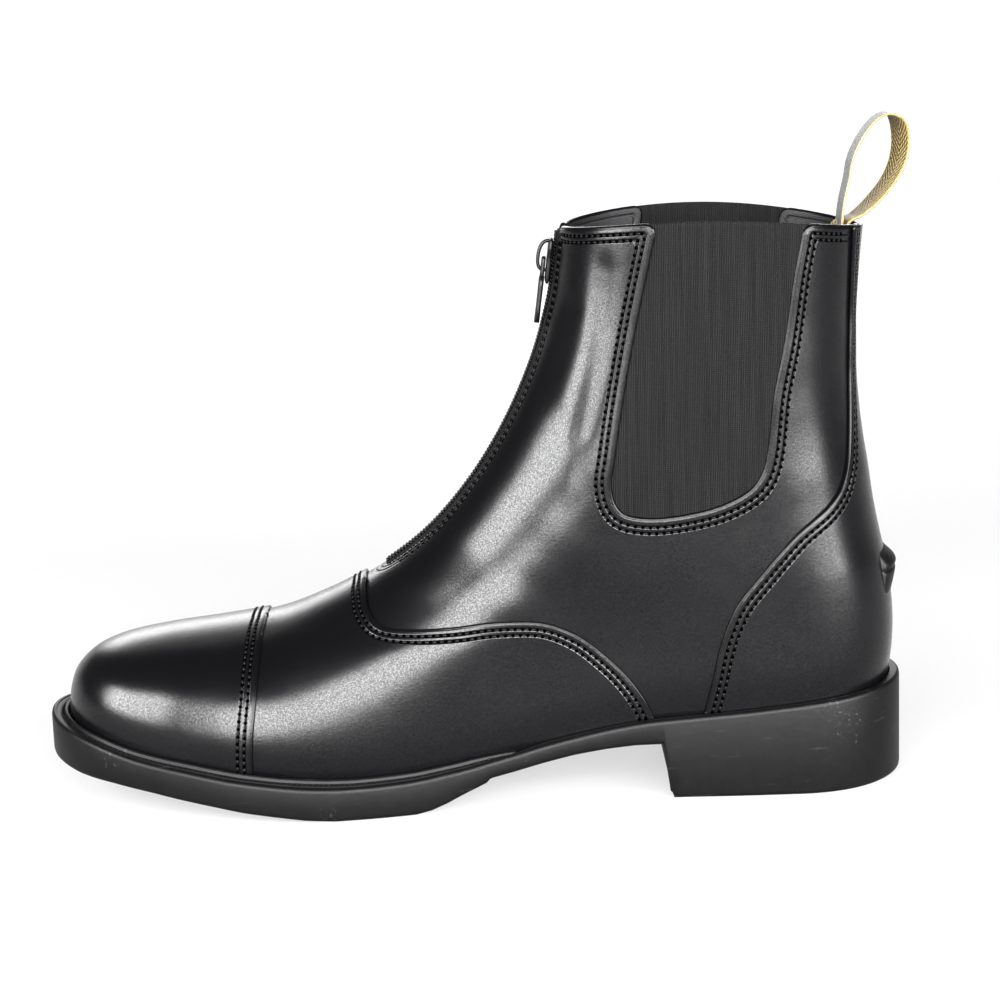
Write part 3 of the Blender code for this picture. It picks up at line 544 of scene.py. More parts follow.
# Rows of stitches where a panel's field has given values, over its own height.
def stitchRows(levels, angles, fieldOf, height, distances, keep=None, shape=threadShape):
    values, triangles = gridField(levels, angles, fieldOf)
    lines = []
    for distance in distances:
        cut, some, new = clipTriangles(values, triangles, values[:, 2] - distance)
        edges = rimEdges(some)
        for run in chains(edges[new[edges].all(1)]):
            line = skin(cut[run], height)
            shown = np.ones(len(run), bool) if keep is None else keep(line[0])
            parts = np.split(np.arange(len(run)), np.flatnonzero(np.diff(shown.astype(int))) + 1)
            lines += [[rows[part] for rows in line] for part in parts if shown[part[0]] and len(part) > 3]
    return [stitchMesh(*line, shape) for line in lines if runOf(line[0])[-1] > shape["shortest"]]


# Thread in one object, and the black discs of painted stitch-hole shade in another.
def makeStitches(name, rows, slot="leather"):
    for word, part, material in (("", 0, thread), ("_holes", 2, hole)):
        points, faces = joinParts([row[part : part + 2] for row in rows])
        makeObject(name + word, points, faces, material, slot=slot)


# A material with its shader, two functions and the object's coordinates. One function sets
# a node's inputs, to values or to pairs of a node and one of its outputs; the other adds a
# node with settings of its own.
def newMaterial(name, colour, roughness, **more):
    material = bpy.data.materials.new(name)
    material.use_nodes = True
    nodes, links = material.node_tree.nodes, material.node_tree.links
    shader = nodes["Principled BSDF"]

    def put(node, inputs):
        for key, value in inputs.items():
            if isinstance(value, tuple) and hasattr(value[0], "outputs"):
                links.new(value[0].outputs[value[1]], node.inputs[key])
            else:
                node.inputs[key].default_value = value
        return node

    def add(kind, inputs=None, **settings):
        node = nodes.new("ShaderNode" + kind)
        for key, value in settings.items():
            setattr(node, key, value)
        return put(node, inputs or {})

    put(shader, {"Base Color": (*colour, 1), "Roughness": roughness, **more})
    return material, shader, add, put, (add("TexCoord"), "Object")


# A ramp from a list of positions and colours or grey values.
def addRamp(add, factor, stops, interpolation="EASE"):
    ramp = add("ValToRGB", {"Fac": factor})
    ramp.color_ramp.interpolation = interpolation
    band = ramp.color_ramp.elements
    while len(band) < len(stops):
        band.new(0.5)
    for element, (at, value) in zip(band, stops):
        element.position = at
        element.color = (*value, 1) if isinstance(value, tuple) else (value, value, value, 1)
    return (ramp, "Color")


# Noise over a piece: so many waves in each metre, with finer ones on them.
def addNoise(add, place, scale, detail=2.0, roughness=0.5):
    inputs = {"Vector": place, "Scale": scale, "Detail": detail, "Roughness": roughness}
    return (add("TexNoise", inputs), "Fac")


# A sum, product or other operation on values, named as the node names it.
def addMath(add, operation, *values):
    return (add("Math", dict(enumerate(values)), operation=operation), 0)


# A sine of a value, with a given period.
def addWave(add, value, period):
    return addMath(add, "SINE", addMath(add, "MULTIPLY", value, 2 * math.pi / period))


# A value carried from one range (low, high) to another (first, last).
def addRange(add, value, low, high, first=0.0, last=1.0):
    return (add("MapRange", {0: value, 1: low, 2: high, 3: first, 4: last}), 0)


# A bump of a height, in metres, over an earlier one.
def addBump(add, height, strength, distance, under=None):
    inputs = {"Height": height, "Strength": strength, "Distance": distance}
    return (add("Bump", inputs if under is None else {**inputs, "Normal": under}), 0)


# One colour and another, by a share from 0 to 1.
def addMix(add, share, first, second):
    return (add("Mix", {0: share, 6: first, 7: second}, data_type="RGBA"), 2)


leatherLook = {
    "colour": (0.0016, 0.0016, 0.0019),
    "roughness": 0.24,
    "coat": 0.27,
    "speckle": 0.17,  # how far the coat's weight varies
    "shine": 0.13,
    "rows": (2.0, 4.0),  # stitch grooves, from the panel's edge
    "groove": (0.75, 0.8, 0.0005),  # half width in millimetres, strength and depth
    "worn": (0.1, 0.9, 0.15),  # from and to which distance the gloss grows, and its least share
    # how many in each metre, strength and depth of their bump
    "cells": (1500.0, 0.45, 0.00006),
    "cloud": (2900.0, 0.4, 0.00006),
    "broad": (38.0, 0.3, 0.0010),
    "speckles": (2200.0, 0.32, 0.68),  # how many, and the noise's least and most
    "uneven": (-0.02, 0.03),  # least and most change of the roughness
}
noiseLow, noiseHigh = 0.3, 0.7  # the usual range of a noise


# Leather: fine cells and softer unevenness as bump, grooves under the stitch rows by the
# distance to the panel's edge, slightly uneven gloss, thin speckled clear coat.
def leather(name, **changes):
    look = {**leatherLook, **changes}
    rough, coat, speckle = look["roughness"], look["coat"], look["speckle"]
    material, shader, add, put, place = newMaterial(name, look["colour"], rough)
    cells = add("TexVoronoi", {"Vector": place, "Scale": look["cells"][0], "Randomness": 1.0})
    cloud = addNoise(add, place, look["cloud"][0])
    broad = addNoise(add, place, look["broad"][0])
    seam = (add("Attribute", attribute_name="seam"), "Fac")
    # the ramp runs over the first ten millimetres
    stops = [(0.0, 0.75), (0.07, 1.0)]
    half = look["groove"][0]
    for row in look["rows"]:
        stops += [((row - half) / 10, 1.0), (row / 10, 0.25), ((row + half) / 10, 1.0)]
    groove = addRamp(add, addMath(add, "MULTIPLY", seam, 0.1), stops)
    low = addBump(add, broad, *look["broad"][1:])
    middle = addBump(add, groove, *look["groove"][1:], low)
    soft = addBump(add, cloud, *look["cloud"][1:], middle)
    fine = addBump(add, (cells, "Distance"), *look["cells"][1:], soft)
    less, more = look["uneven"]
    gloss = addRange(add, broad, noiseLow, noiseHigh, rough + less, rough + more)
    near, far, least = look["worn"]
    worn = addRange(add, seam, near, far, least)
    many, low, high = look["speckles"]
    share = addRange(add, addNoise(add, place, many, 1.0), low, high, coat - speckle, coat + speckle)
    put(shader, {"Roughness": gloss, "Normal": fine, "Coat Weight": addMath(add, "MULTIPLY", worn, share)})
    put(shader, {"Coat Normal": soft, "Coat Roughness": rough, "Specular IOR Level": look["shine"]})
    return material


rubberLook = {
    "roughness": 0.45,
    "shine": 0.15,
    "dirt": (0.014, 0.014, 0.0137),
    "mottle": (260.0, 6.0, 0.65),  # how many in each metre, detail and its roughness
    "bump": (0.4, 0.00018),
    "specks": (900.0, 55.0, 0.415, 0.48),  # size of specks and of their areas, threshold from and to
    "scuff": (0.66, 0.74, 0.55),  # threshold from and to, strongest share
    # how many in each metre along x, y and z, and the turn round each, in radians
    "stretch": {"Scale": (90.0, 90.0, 900.0), "Rotation": (0.0, 0.5, 0.3)},
    "tones": ((noiseLow, 0.8), (noiseHigh, 1.25)),  # the mottle, and the colour's share there
}


# Rubber: matte, with a fine mottle, pale specks where a noise passes a high threshold and
# long thin scuffs from a stretched one.
def rubber(name, colour):
    look = rubberLook
    material, shader, add, put, place = newMaterial(name, colour, look["roughness"])
    mottle = addNoise(add, place, *look["mottle"])
    small, wide, first, last = look["specks"]
    speck = addMath(add, "MULTIPLY", addNoise(add, place, small), addNoise(add, place, wide))
    stretched = add("Mapping", {"Vector": place, **look["stretch"]})
    streak = addNoise(add, (stretched, 0), 1.0, 3.0)
    low, high, most = look["scuff"]
    scuff = addRange(add, streak, low, high, 0.0, most)
    dirt = addMath(add, "MAXIMUM", addRange(add, speck, first, last), scuff)
    tone = addRamp(add, mottle, [(at, tuple(c * k for c in colour)) for at, k in look["tones"]])
    mix = addMix(add, dirt, tone, (*look["dirt"], 1))
    bump = addBump(add, mottle, *look["bump"])
    put(shader, {"Base Color": mix, "Normal": bump, "Specular IOR Level": look["shine"]})
    return material


elasticLook = {
    "rib": 0.00072,  # periods across and up, in metres
    "row": 0.0007,
    "slant": -0.04,
    "ribShare": 0.28,
    "rowShare": 0.12,
    "crossShare": 0.5,
    "yarn": 900.0,
    "stretch": (1.3, 0.2, 0.03),  # of the yarn's noise, along x, y and z
    "cross": 1400.0,
    "bump": (0.7, 0.00022),
    # colours by the rib height: the near black of the low grooves is painted shade, the rest yarn tone
    "tones": [(0.66, (0.0001, 0.0001, 0.0001)), (1.0, (0.0052, 0.0052, 0.0054))],
}


# Elastic: upright ribs from a wave of x, crossed by a finer one of z, and yarn noise; the colour
# is near black where the ribs are low, painted shade in the grooves, and the noises vary its tone.
def elasticCloth(name):
    look = elasticLook
    material, shader, add, put, place = newMaterial(name, (0.02, 0.02, 0.021), 0.78)
    split = add("SeparateXYZ", {"Vector": place})
    slanted = addMath(add, "ADD", (split, "X"), addMath(add, "MULTIPLY", (split, "Z"), look["slant"]))
    ribs, rows = addWave(add, slanted, look["rib"]), addWave(add, (split, "Z"), look["row"])
    stretched = add("Mapping", {"Vector": place, "Scale": look["stretch"]})
    yarn = addNoise(add, (stretched, 0), look["yarn"], 3.0)
    mixed = addMath(add, "MULTIPLY_ADD", ribs, look["ribShare"], yarn)
    total = addMath(add, "MULTIPLY_ADD", rows, look["rowShare"], mixed)
    # the bump's height with a finer noise: painted shade in the low grooves, real tone from the noises
    ribShadeAndYarnTone = addMath(add, "MULTIPLY_ADD", addNoise(add, place, look["cross"]), look["crossShare"], total)
    tone = addRamp(add, ribShadeAndYarnTone, look["tones"], "LINEAR")
    put(shader, {"Base Color": tone, "Normal": addBump(add, total, *look["bump"])})
    put(shader, {"Sheen Weight": 0.02, "Sheen Roughness": 0.4, "Specular IOR Level": 0.12})
    return material


ribbonLook = {
    "chevron": 1.7,  # periods along and across, in millimetres
    "warp": 1.3,
    "warpShare": 0.5,
    "bump": (0.8, 0.0002),
    "edge": (4.6, 5.0, 0.7),  # plain edge: from and to which distance, strongest share
    "gold": [(0.25, (0.012, 0.008, 0.002)), (0.9, (0.17, 0.125, 0.043))],
    "grey": [(0.25, (0.012, 0.012, 0.012)), (0.8, (0.085, 0.085, 0.082))],
}


# Ribbon: chevrons from the absolute value of the place across added to the length, gold on
# its inner face and silver grey on the other, by the attribute face.
def ribbonCloth(name):
    look = ribbonLook
    material, shader, add, put, place = newMaterial(name, (0.3, 0.28, 0.2), 0.55)
    face, run, side = ((add("Attribute", attribute_name=word), "Fac") for word in ("face", "run", "side"))
    bend = addMath(add, "ABSOLUTE", side)
    weave = addWave(add, addMath(add, "ADD", bend, run), look["chevron"])
    total = addMath(add, "MULTIPLY_ADD", addWave(add, side, look["warp"]), look["warpShare"], weave)
    near, far, most = look["edge"]
    edge = addRange(add, bend, near, far, 0.0, most)
    highest = 1 + look["warpShare"]
    share = addMath(add, "MAXIMUM", addRange(add, total, -highest, highest), edge)
    gold, grey = (addRamp(add, share, look[word], "LINEAR") for word in ("gold", "grey"))
    put(shader, {"Base Color": addMix(add, face, grey, gold), "Normal": addBump(add, share, *look["bump"])})
    put(shader, {"Sheen Weight": 0.05, "Sheen Roughness": 0.3})
    return material


# Plain cloth, thread or metal with noise as bump.
def plain(name, colour, roughness, scale=900.0, depth=0.0001, shine=0.15):
    material, shader, add, put, place = newMaterial(name, colour, roughness)
    noise = addNoise(add, place, scale, 4.0)
    gloss = addRange(add, noise, noiseLow, noiseHigh, roughness * 0.85, min(roughness * 1.2, 1))
    bump = addBump(add, noise, 0.5, depth)
    put(shader, {"Normal": bump, "Roughness": gloss, "Specular IOR Level": shine})
    return material


quarterLeather = leather("quarter_leather", rows=(2.2, 4.2))
capLeather = leather("cap_leather", rows=(2.2, 4.3), roughness=0.23, coat=0.28)
vampLeather = leather("vamp_leather")
counterLeather = leather("counter_leather")
liningColour = (0.007, 0.007, 0.0075)
liningLeather = leather("lining_leather", rows=(2.2,), colour=liningColour, roughness=0.55, coat=0.17)
soleRubber = rubber("sole_rubber", (0.0015, 0.0015, 0.0017))
weltRubber = rubber("welt_rubber", (0.0022, 0.0022, 0.0024))
elastic = elasticCloth("elastic_cloth")
ribbon = ribbonCloth("ribbon_cloth")
thread = plain("thread", (0.0012, 0.0012, 0.0013), 0.45, scale=2500.0, shine=0.16)
# black matte discs: painted shade inside the stitch holes
hole = plain("stitch_hole", (0.0003, 0.0003, 0.0003), 0.95, shine=0.0)
tapeCloth = plain("zip_cloth", (0.003, 0.003, 0.0033), 0.8, scale=1800.0, depth=0.0002)
coilNylon = plain("zip_coil", (0.004, 0.004, 0.0045), 0.35, scale=600.0, depth=0.00003)
zipMetal = plain("zip_metal", (0.0025, 0.0025, 0.0027), 0.32, scale=300.0, depth=0.00003, shine=0.2)
boardCloth = plain("insole_cloth", (0.30, 0.22, 0.13), 0.75, scale=500.0, depth=0.0003)
print("materials done")


# Angles of the outer side, or the same ones on the inner side.
def mirrored(angles, side):
    return angles if side < 0 else -angles[::-1]


# An outline of the side view, from a seam and corners well outside the boot.
def region(table, *corners):
    return [tuple(place) for place in smoothLine(table)] + list(corners)


# Signed distance to the nearest of some lines: plus inside their region of the side view.
def seamField(lines, outline):
    def field(p):
        nearest = np.minimum.reduce([distanceTo(p, line) for line in lines])
        return nearest * np.where(insideOf(p[:, 0], p[:, 2], outline), 1.0, -1.0)

    return field


quarterShape = {
    "grid": (190, 170),  # levels and angles
    "top": 0.0,  # over the plain surface
    "thick": wall,
    "edge": 0.85,  # rounding
    "rows": (2.3, 4.3),  # stitches, from the edge
    "sewn": (-24.0, 121.0),  # from and to which x
    "sewnLevel": 40,  # the first of the grid with stitches
    "corners": (3.2, 3.0, 0.5),  # radii at the window, at the slot and where these meet
    "slot": (3.4, -25.3, 1.15),  # half width, x of the lower end, how much that is flattened
}
halfTurn = np.linspace(0.0, math.pi, 400)
collarLine = {side: shapeAt(np.ones_like(halfTurn), mirrored(halfTurn, side)) for side, _ in sides}
windowLine = {side: seamPoints(windowEdge, (side,)) for side, _ in sides}
windowRegion = region(windowEdge, (110.0, 220.0), (62.0, 220.0))


# Distance out of the zip's slot, which has a round lower end.
def zipField(p):
    half, foot, flat = quarterShape["slot"]
    return np.hypot(np.maximum(foot - p[:, 0], 0) * flat, p[:, 1]) - half


# Quarter: out of the window, out of the slot, with round corners at the collar.
def quarterField(side):
    window = seamField([windowLine[side]], windowRegion)
    atWindow, atSlot, between = quarterShape["corners"]

    def field(p):
        top = distanceTo(p, collarLine[side])
        clear = roundMin(-window(p), top, atWindow)
        return roundMin(clear, roundMin(zipField(p), top, atSlot), between)

    return field


# Whether points lie in the stretch of x that is sewn.
def isSewn(p):
    first, last = quarterShape["sewn"]
    return (p[:, 0] > first) & (p[:, 0] < last)


levels = np.linspace(0.0, 1.0, quarterShape["grid"][0])
for side, word in sides:
    angles = mirrored(np.linspace(0.0, math.pi, quarterShape["grid"][1]), side)
    field = quarterField(side)
    quarter = makePanel("quarter_" + word, levels, angles, field, quarterShape, quarterLeather)
    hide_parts("upper")
    sewnLevels = levels[quarterShape["sewnLevel"] :]
    rows = stitchRows(sewnLevels, angles, field, quarterShape["top"], quarterShape["rows"], isSewn)
    makeStitches("quarter_stitches_" + word, rows)
print("quarters done")


# Lining: the inside of the wall, turned to face in, open at the windows and the slot.
def makeLining(levels=140, angles=321):
    outer, inner = quarterField(-1), quarterField(1)
    grid = np.linspace(0, 1, levels), np.linspace(0, 2 * math.pi, angles)
    values, triangles = gridField(*grid, lambda p: np.where(p[:, 1] < 0, outer(p), inner(p)))
    values, triangles, _ = clipTriangles(values, triangles, values[:, 2])
    points, normals = skin(values)
    fields = {"seam": values[:, 2]}
    makeObject("lining", points - normals * wall, triangles[:, ::-1], liningLeather, fields=fields)


makeLining()
print("lining done")

capShape = {
    "levels": (0.0, 0.52, 100),  # from, to and how many
    "angles": (1.75, 2 * math.pi - 1.75, 260),
    "top": capTop,
    "thick": 1.9,
    "edge": 0.55,
    "rows": (2.2, 4.3),
    "lines": [seamPoints(capEdge, (-1, 1))],
    "region": region(capEdge, (-72.6, -20.0), (-200.0, -20.0), (-200.0, 220.0), (-66.8, 220.0)),
    "leather": capLeather,
}
vampShape = {
    "levels": (0.0, 0.64, 110),
    "angles": (0.95, 2 * math.pi - 0.95, 330),
    "top": overlay,
    "thick": 1.3,
    "edge": 0.5,
    "rows": (2.0, 4.0),
    "lines": [seamPoints(vampEdge, (-1, 1))],
    "region": region(vampEdge, (59.4, -20.0), (-92.0, -20.0), (-92.0, 220.0), (-31.8, 220.0)),
    "leather": vampLeather,
}
counterShape = {
    "levels": (0.0, 1.0, 190),
    "angles": (-1.35, 1.35, 170),
    "top": overlay,
    "thick": 1.3,
    "edge": 0.5,
    "rows": (2.0, 4.0),
    "lines": [seamPoints(counterEdge, (side,)) for side, _ in sides],
    "region": region(counterEdge, (74.0, -20.0), (200.0, -20.0), (200.0, 220.0), (125.2, 220.0)),
    "leather": counterLeather,
}
overlays = {"toe_cap": capShape, "vamp": vampShape, "counter": counterShape}
for name, shape in overlays.items():
    shape["panel"] = (
        np.linspace(*shape["levels"]),
        np.linspace(*shape["angles"]),
        seamField(shape["lines"], shape["region"]),
    )
    panel = makePanel(name + "_leather", *shape["panel"], shape, shape["leather"])
    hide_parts(name)
print("overlays done")
for name, shape in overlays.items():
    makeStitches(name + "_stitches", stitchRows(*shape["panel"], shape["top"], shape["rows"]))
print("overlay stitches done")

# Elastic: the window's region and a margin under the leather, thin, with both faces.
elasticShape = {
    "levels": (0.5, 1.0, 110),
    "angles": (0.5, 2.4, 150),
    "top": -0.75,
    "thick": 0.9,
    "edge": 0.4,
    "under": 3.5,  # the leather
}
for side, word in sides:
    window = seamField([windowLine[side]], windowRegion)
    panel = makePanel(
        "elastic_" + word,
        np.linspace(*elasticShape["levels"]),
        mirrored(np.linspace(*elasticShape["angles"]), side),
        lambda p: window(p) + elasticShape["under"],
        elasticShape,
        elastic,
        both=True,
        slot="elastic",
    )
    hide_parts("gusset_" + word)
print("elastic done")


# Points on the front line of the boot between two heights: place, upward and outward
# direction in the x-z plane.
def frontLine(first, last, count):
    z = np.linspace(first, last, count)
    x = np.interp(z, frontZ, frontX)
    run = np.interp(z + 1, longZ, longX) - np.interp(z - 1, longZ, longX)
    up = unit(np.stack([run, np.full(count, 2.0)], 1))
    return np.stack([x, z], 1), up, np.stack([-up[:, 1], up[:, 0]], 1)


# A closed section of sideways and outward steps, carried along a line in the x-z plane; the
# section may change along the line.
def sweepPoints(centres, outward, sections):
    place = centres[:, None] + outward[:, None] * sections[..., 1:2]
    return np.stack([place[..., 0], sections[..., 0], place[..., 1]], -1)


# Round section of a flat strip: a rectangle with half-round short sides.
def stripSection(half, thick, steps=5):
    turn = np.linspace(-math.pi / 2, math.pi / 2, steps)
    right = np.stack([half - thick + thick * np.cos(turn), thick * np.sin(turn)], 1)
    return np.concatenate([right, -right])


# Cosines and sines of a turn, raised to powers under one, which squares its corners.
def squaredTurn(count, across, high=0.6):
    turn = np.linspace(0, 2 * math.pi, count, endpoint=False)
    return [np.sign(v) * np.abs(v) ** power for v, power in ((np.cos(turn), across), (np.sin(turn), high))]


# Unit direction along a line of points.
def directions(line):
    return unit(np.gradient(line, axis=0))


zipShape = {
    "foot": -28.0,  # x on the front line
    "below": 1.0,  # the collar
    "stations": 160,
    # sideways and outwards, round the tape
    "section": [(-3.6, -1.4), (3.6, -1.4), (3.6, -0.7), (2.4, 0.3), (0.0, 0.45), (-2.4, 0.3), (-3.6, -0.7)],
    "pitch": 1.25,
    "first": 0.8,  # place of the first bar
    "last": 0.5,  # least distance of a bar from the tape's end
    "start": -0.35,  # of a bar, past the middle
    "reach": 2.3,
    "over": 0.75,  # middle of the coil over the front line
    "half": (0.50, 0.62),  # half width and half height of a bar
    # share of a bar's length, and its fatness there
    "bar": [(0.0, 0.62), (0.18, 0.95), (0.62, 1.0), (0.9, 0.85), (1.0, 0.4)],
}


# Zip: a tape under the slot, and a coil of short rounded bars in two rows half a pitch apart.
def makeZip():
    shape, count, section = zipShape, zipShape["stations"], np.array(zipShape["section"])
    lowest = np.interp(shape["foot"], frontX, frontZ)
    points, _, out = frontLine(lowest, frontZ[-1] - shape["below"], count)
    tape = sweepPoints(points, out, np.broadcast_to(section, (count, *section.shape)))
    faces = tubeFaces(count, len(section), True)
    made = makeObject("zip_cloth", tape.reshape(-1, 3), faces, tapeCloth, slot="zip_tape", sharp=40)
    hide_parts("zip_tape")
    length, pitch, (wide, tall) = runOf(points), shape["pitch"], shape["half"]
    ring = np.arange(8) * math.pi / 4
    bar = np.array(shape["bar"])
    along, high = bar[:, 1:] * np.cos(ring) * wide, shape["over"] + bar[:, 1:] * np.sin(ring) * tall
    parts = []
    for row in (-1, 1):
        at = np.arange(shape["first"] + (0.5 * pitch if row > 0 else 0), length[-1] - shape["last"], pitch)
        centre, lift = (
            np.stack([np.interp(at, length, line[:, k]) for k in (0, 1)], 1)[:, None, None]
            for line in (points, out)
        )
        up = np.stack([lift[..., 1], -lift[..., 0]], -1)
        place = centre + up * along[..., None] + lift * high[..., None]
        side = row * (shape["start"] + shape["reach"] * bar[:, :1])
        body = np.stack([place[..., 0], np.broadcast_to(side, place.shape[:-1]), place[..., 1]], -1)
        tube = tubeFaces(*high.shape, row > 0)
        offset = (np.arange(len(at)) * high.size)[:, None, None]
        faces = (np.array(tube[:-2]) + offset).reshape(-1, 4).tolist()
        faces += (np.array(tube[-2:]) + offset).reshape(-1, len(ring)).tolist()
        parts.append((body.reshape(-1, 3), faces))
    makeObject("zip_teeth", *joinParts(parts), coilNylon, slot="zip_tape")


makeZip()

# hinge of the pull tab: its z, its height over the front line and the tab's lean in degrees
hingeAt = {"z": 173.5, "height": 3.9, "lean": 8.1}


# Place in x and z given along the zip from the hinge and above the front line.
def zipPlace(along, height):
    base, up, out = frontLine(hingeAt["z"], hingeAt["z"] + 1.0, 2)
    return base[0] + np.multiply.outer(along, up[0]) + np.multiply.outer(height, out[0])


sliderShape = {
    # along the zip, half width
    "plate": [(-8.2, 2.6), (-7.6, 3.1), (-4.0, 3.4), (0.0, 3.6)]
    + [(3.4, 4.4), (5.6, 4.3), (6.4, 3.6), (6.7, 2.8)],
    "over": 2.15,  # middle of the plate over the front line
    "half": 0.85,  # its half thickness
    "ends": 7.6,  # half length within which the plate keeps its thickness
    # along the zip, over the front line
    "bridge": [(-3.9, 2.2), (-3.9, 4.1), (-3.2, 5.2), (-1.6, 5.75)]
    + [(1.2, 5.8), (3.6, 5.3), (5.2, 4.2), (5.9, 2.2)],
    "strip": (1.4, 0.55),  # half width, half thickness
}


# Slider: a plate lofted from cross sections whose width follows a table, a rounded top, and
# a bridge strip bent over it.
def makeSlider(stations=30, around=24):
    shape = sliderShape
    along = np.linspace(shape["plate"][0][0], shape["plate"][-1][0], stations)
    half = curveAt(shape["plate"], 1, along)[:, None]
    across, high = squaredTurn(around, 0.45)
    ends = np.sqrt(np.clip(1 - ((along - along.mean()) / shape["ends"]) ** 8, 0.05, 1))[:, None]
    centre = zipPlace(along, np.full(stations, shape["over"]))
    _, _, out = frontLine(hingeAt["z"], hingeAt["z"] + 1.0, 2)
    sections = np.stack([half * across, shape["half"] * ends * high], -1)
    plate = sweepPoints(centre, np.repeat(out[:1], stations, 0), sections)
    line = smoothLine([tuple(zipPlace(*place)) for place in shape["bridge"]], 0.5)
    ahead = directions(line)
    section = stripSection(*shape["strip"])
    side = np.stack([-ahead[:, 1], ahead[:, 0]], 1)
    strip = sweepPoints(line, side, np.broadcast_to(section, (len(line), *section.shape)))
    parts = [(body.reshape(-1, 3), tubeFaces(*body.shape[:2], True)) for body in (plate, strip)]
    made = makeObject("slider_metal", *joinParts(parts), zipMetal, slot="zip_metal", sharp=60)
    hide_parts("zip_slider")


makeSlider()

pullShape = {
    # down the tab, sideways: the line of the frame round the opening
    "frame": [(0.0, -1.9), (0.0, 1.9), (1.2, 2.15), (4.6, 2.25), (6.2, 2.1), (6.5, 0.0)]
    + [(6.2, -2.1), (4.6, -2.25), (1.2, -2.15)],
    "wire": (0.6, 0.62),  # half width, half thickness
    # down the tab, half width
    "plate": [(6.0, 1.9), (7.2, 2.9), (9.0, 3.3), (17.0, 3.3), (19.4, 2.9), (20.8, 2.0), (21.4, 0.9)],
    "half": 0.86,  # its half thickness
    "dip": (0.25, 14.0, 3.4, 1.7),  # depth, place down the tab, half length, half width
}


# Pull tab: a closed strip round an opening and a plate below it, lofted from cross sections,
# with a sunken oval on both faces.
def makePull(stations=34, around=20):
    shape, hinge, lean = pullShape, zipPlace(0.0, hingeAt["height"]), math.radians(hingeAt["lean"])
    down = np.array([-math.sin(lean), 0.0, -math.cos(lean)])
    face = np.array([-math.cos(lean), 0.0, math.sin(lean)])
    base = np.array([hinge[0], 0.0, hinge[1]])
    line = smoothLine(shape["frame"] + shape["frame"][:1], 0.6)[:-1]
    ahead = unit(np.roll(line, -1, 0) - np.roll(line, 1, 0))
    side = np.stack([-ahead[:, 1], ahead[:, 0]], 1)
    turn, (wide, thick) = np.arange(8) * math.pi / 4, shape["wire"]
    ring = line[:, None] + side[:, None] * (wide * np.cos(turn))[None, :, None]
    wire = base + ring[..., :1] * down + (thick * np.sin(turn))[None, :, None] * face
    wire[..., 1] += ring[..., 1]
    closed = (ringQuads(len(line) + 1, len(turn), True) % wire[..., 0].size).tolist()
    along = np.linspace(shape["plate"][0][0], shape["plate"][-1][0], stations)[:, None]
    across, high = squaredTurn(around, 0.5)
    across = across * curveAt(shape["plate"], 1, along)
    deep, middle, long, broad = shape["dip"]
    dip = deep * np.exp(-(((along - middle) / long) ** 4) - (across / broad) ** 4)
    plate = base + along[..., None] * down + (high * (shape["half"] - dip))[..., None] * face
    plate[..., 1] += across
    parts = [(wire.reshape(-1, 3), closed), (plate.reshape(-1, 3), tubeFaces(stations, around))]
    made = makeObject("pull_tab_metal", *joinParts(parts), zipMetal, "zip_pull_tab", "zip_metal", 60)
    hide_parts("zip_pull")


makePull()
print("zip done")

# x and z of the middle of the ribbon, up from one end, round and back down to the other
loopTable = [
    (123.4, 172.0), (123.4, 181.0), (124.3, 189.0), (125.9, 196.0), (127.0, 202.0), (129.0, 207.0),
    (131.8, 211.5), (135.0, 215.0), (138.4, 216.6), (141.9, 215.9), (144.3, 213.3), (145.2, 209.4),
    (145.0, 204.7), (143.8, 200.4), (141.2, 195.6), (137.2, 190.7), (133.3, 186.9), (129.6, 184.3),
    (126.6, 183.1), (125.0, 180.2), (124.9, 172.0),
]
ribbonShape = {
    "half": 5.3,  # width
    "tip": 5.55,  # of the rounded edge
    "halfThick": 0.38,
    "cells": 16,
    "slant": (0.33, 0.03),  # where the ribbon faces back, and everywhere
}


# Ribbon: a thin rounded strip along the loop's line. Its far edge is drawn forward, mostly
# where the ribbon faces back, so that the inner face shows from the outer side.
def makeLoop():
    half, thick, cells = ribbonShape["half"], ribbonShape["halfThick"], ribbonShape["cells"]
    line = smoothLine(loopTable, 0.7)
    ahead = directions(line)
    out = np.stack([-ahead[:, 1], ahead[:, 0]], 1)
    flat = np.linspace(-half, half, cells)
    faces = [np.stack([flat * turn, np.full(cells, thick * turn)], 1) for turn in (1, -1)]
    tip = [(ribbonShape["tip"], 0.0)]
    section = np.concatenate([faces[0], tip, faces[1], np.negative(tip)])
    size = len(section)
    points = sweepPoints(line, out, np.broadcast_to(section, (len(line), size, 2)))
    facing, always = ribbonShape["slant"]
    slant = facing * np.clip(out[:, :1], 0, 1) + always
    points[..., 0] -= slant * (points[..., 1] + half)
    # the first side of the section is the outer face of the loop
    fields = {
        "run": np.repeat(runOf(line), size),
        "side": np.tile(section[:, 0], len(line)),
        "face": np.tile(np.where(section[:, 1] > 0, 0.0, 1.0), len(line)),
    }
    faces = tubeFaces(len(line), size)
    made = makeObject("loop_ribbon", points.reshape(-1, 3), faces, ribbon, "boot", "ribbon", 50, fields)
    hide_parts("pull_loop")


makeLoop()
print("loop done")

# z and height over the counter of the spur rest's nose, with a groove under its ridge
spurRows = [
    (60.6, 0.05), (61.4, 0.5), (63.0, 1.1), (65.2, 1.9), (67.2, 2.6), (68.0, 2.65), (68.4, 1.9),
    (68.8, 1.9), (69.2, 2.8), (70.0, 3.35), (71.0, 3.1), (72.4, 2.1), (73.6, 1.2), (74.8, 0.6),
    (75.4, 0.05),
]


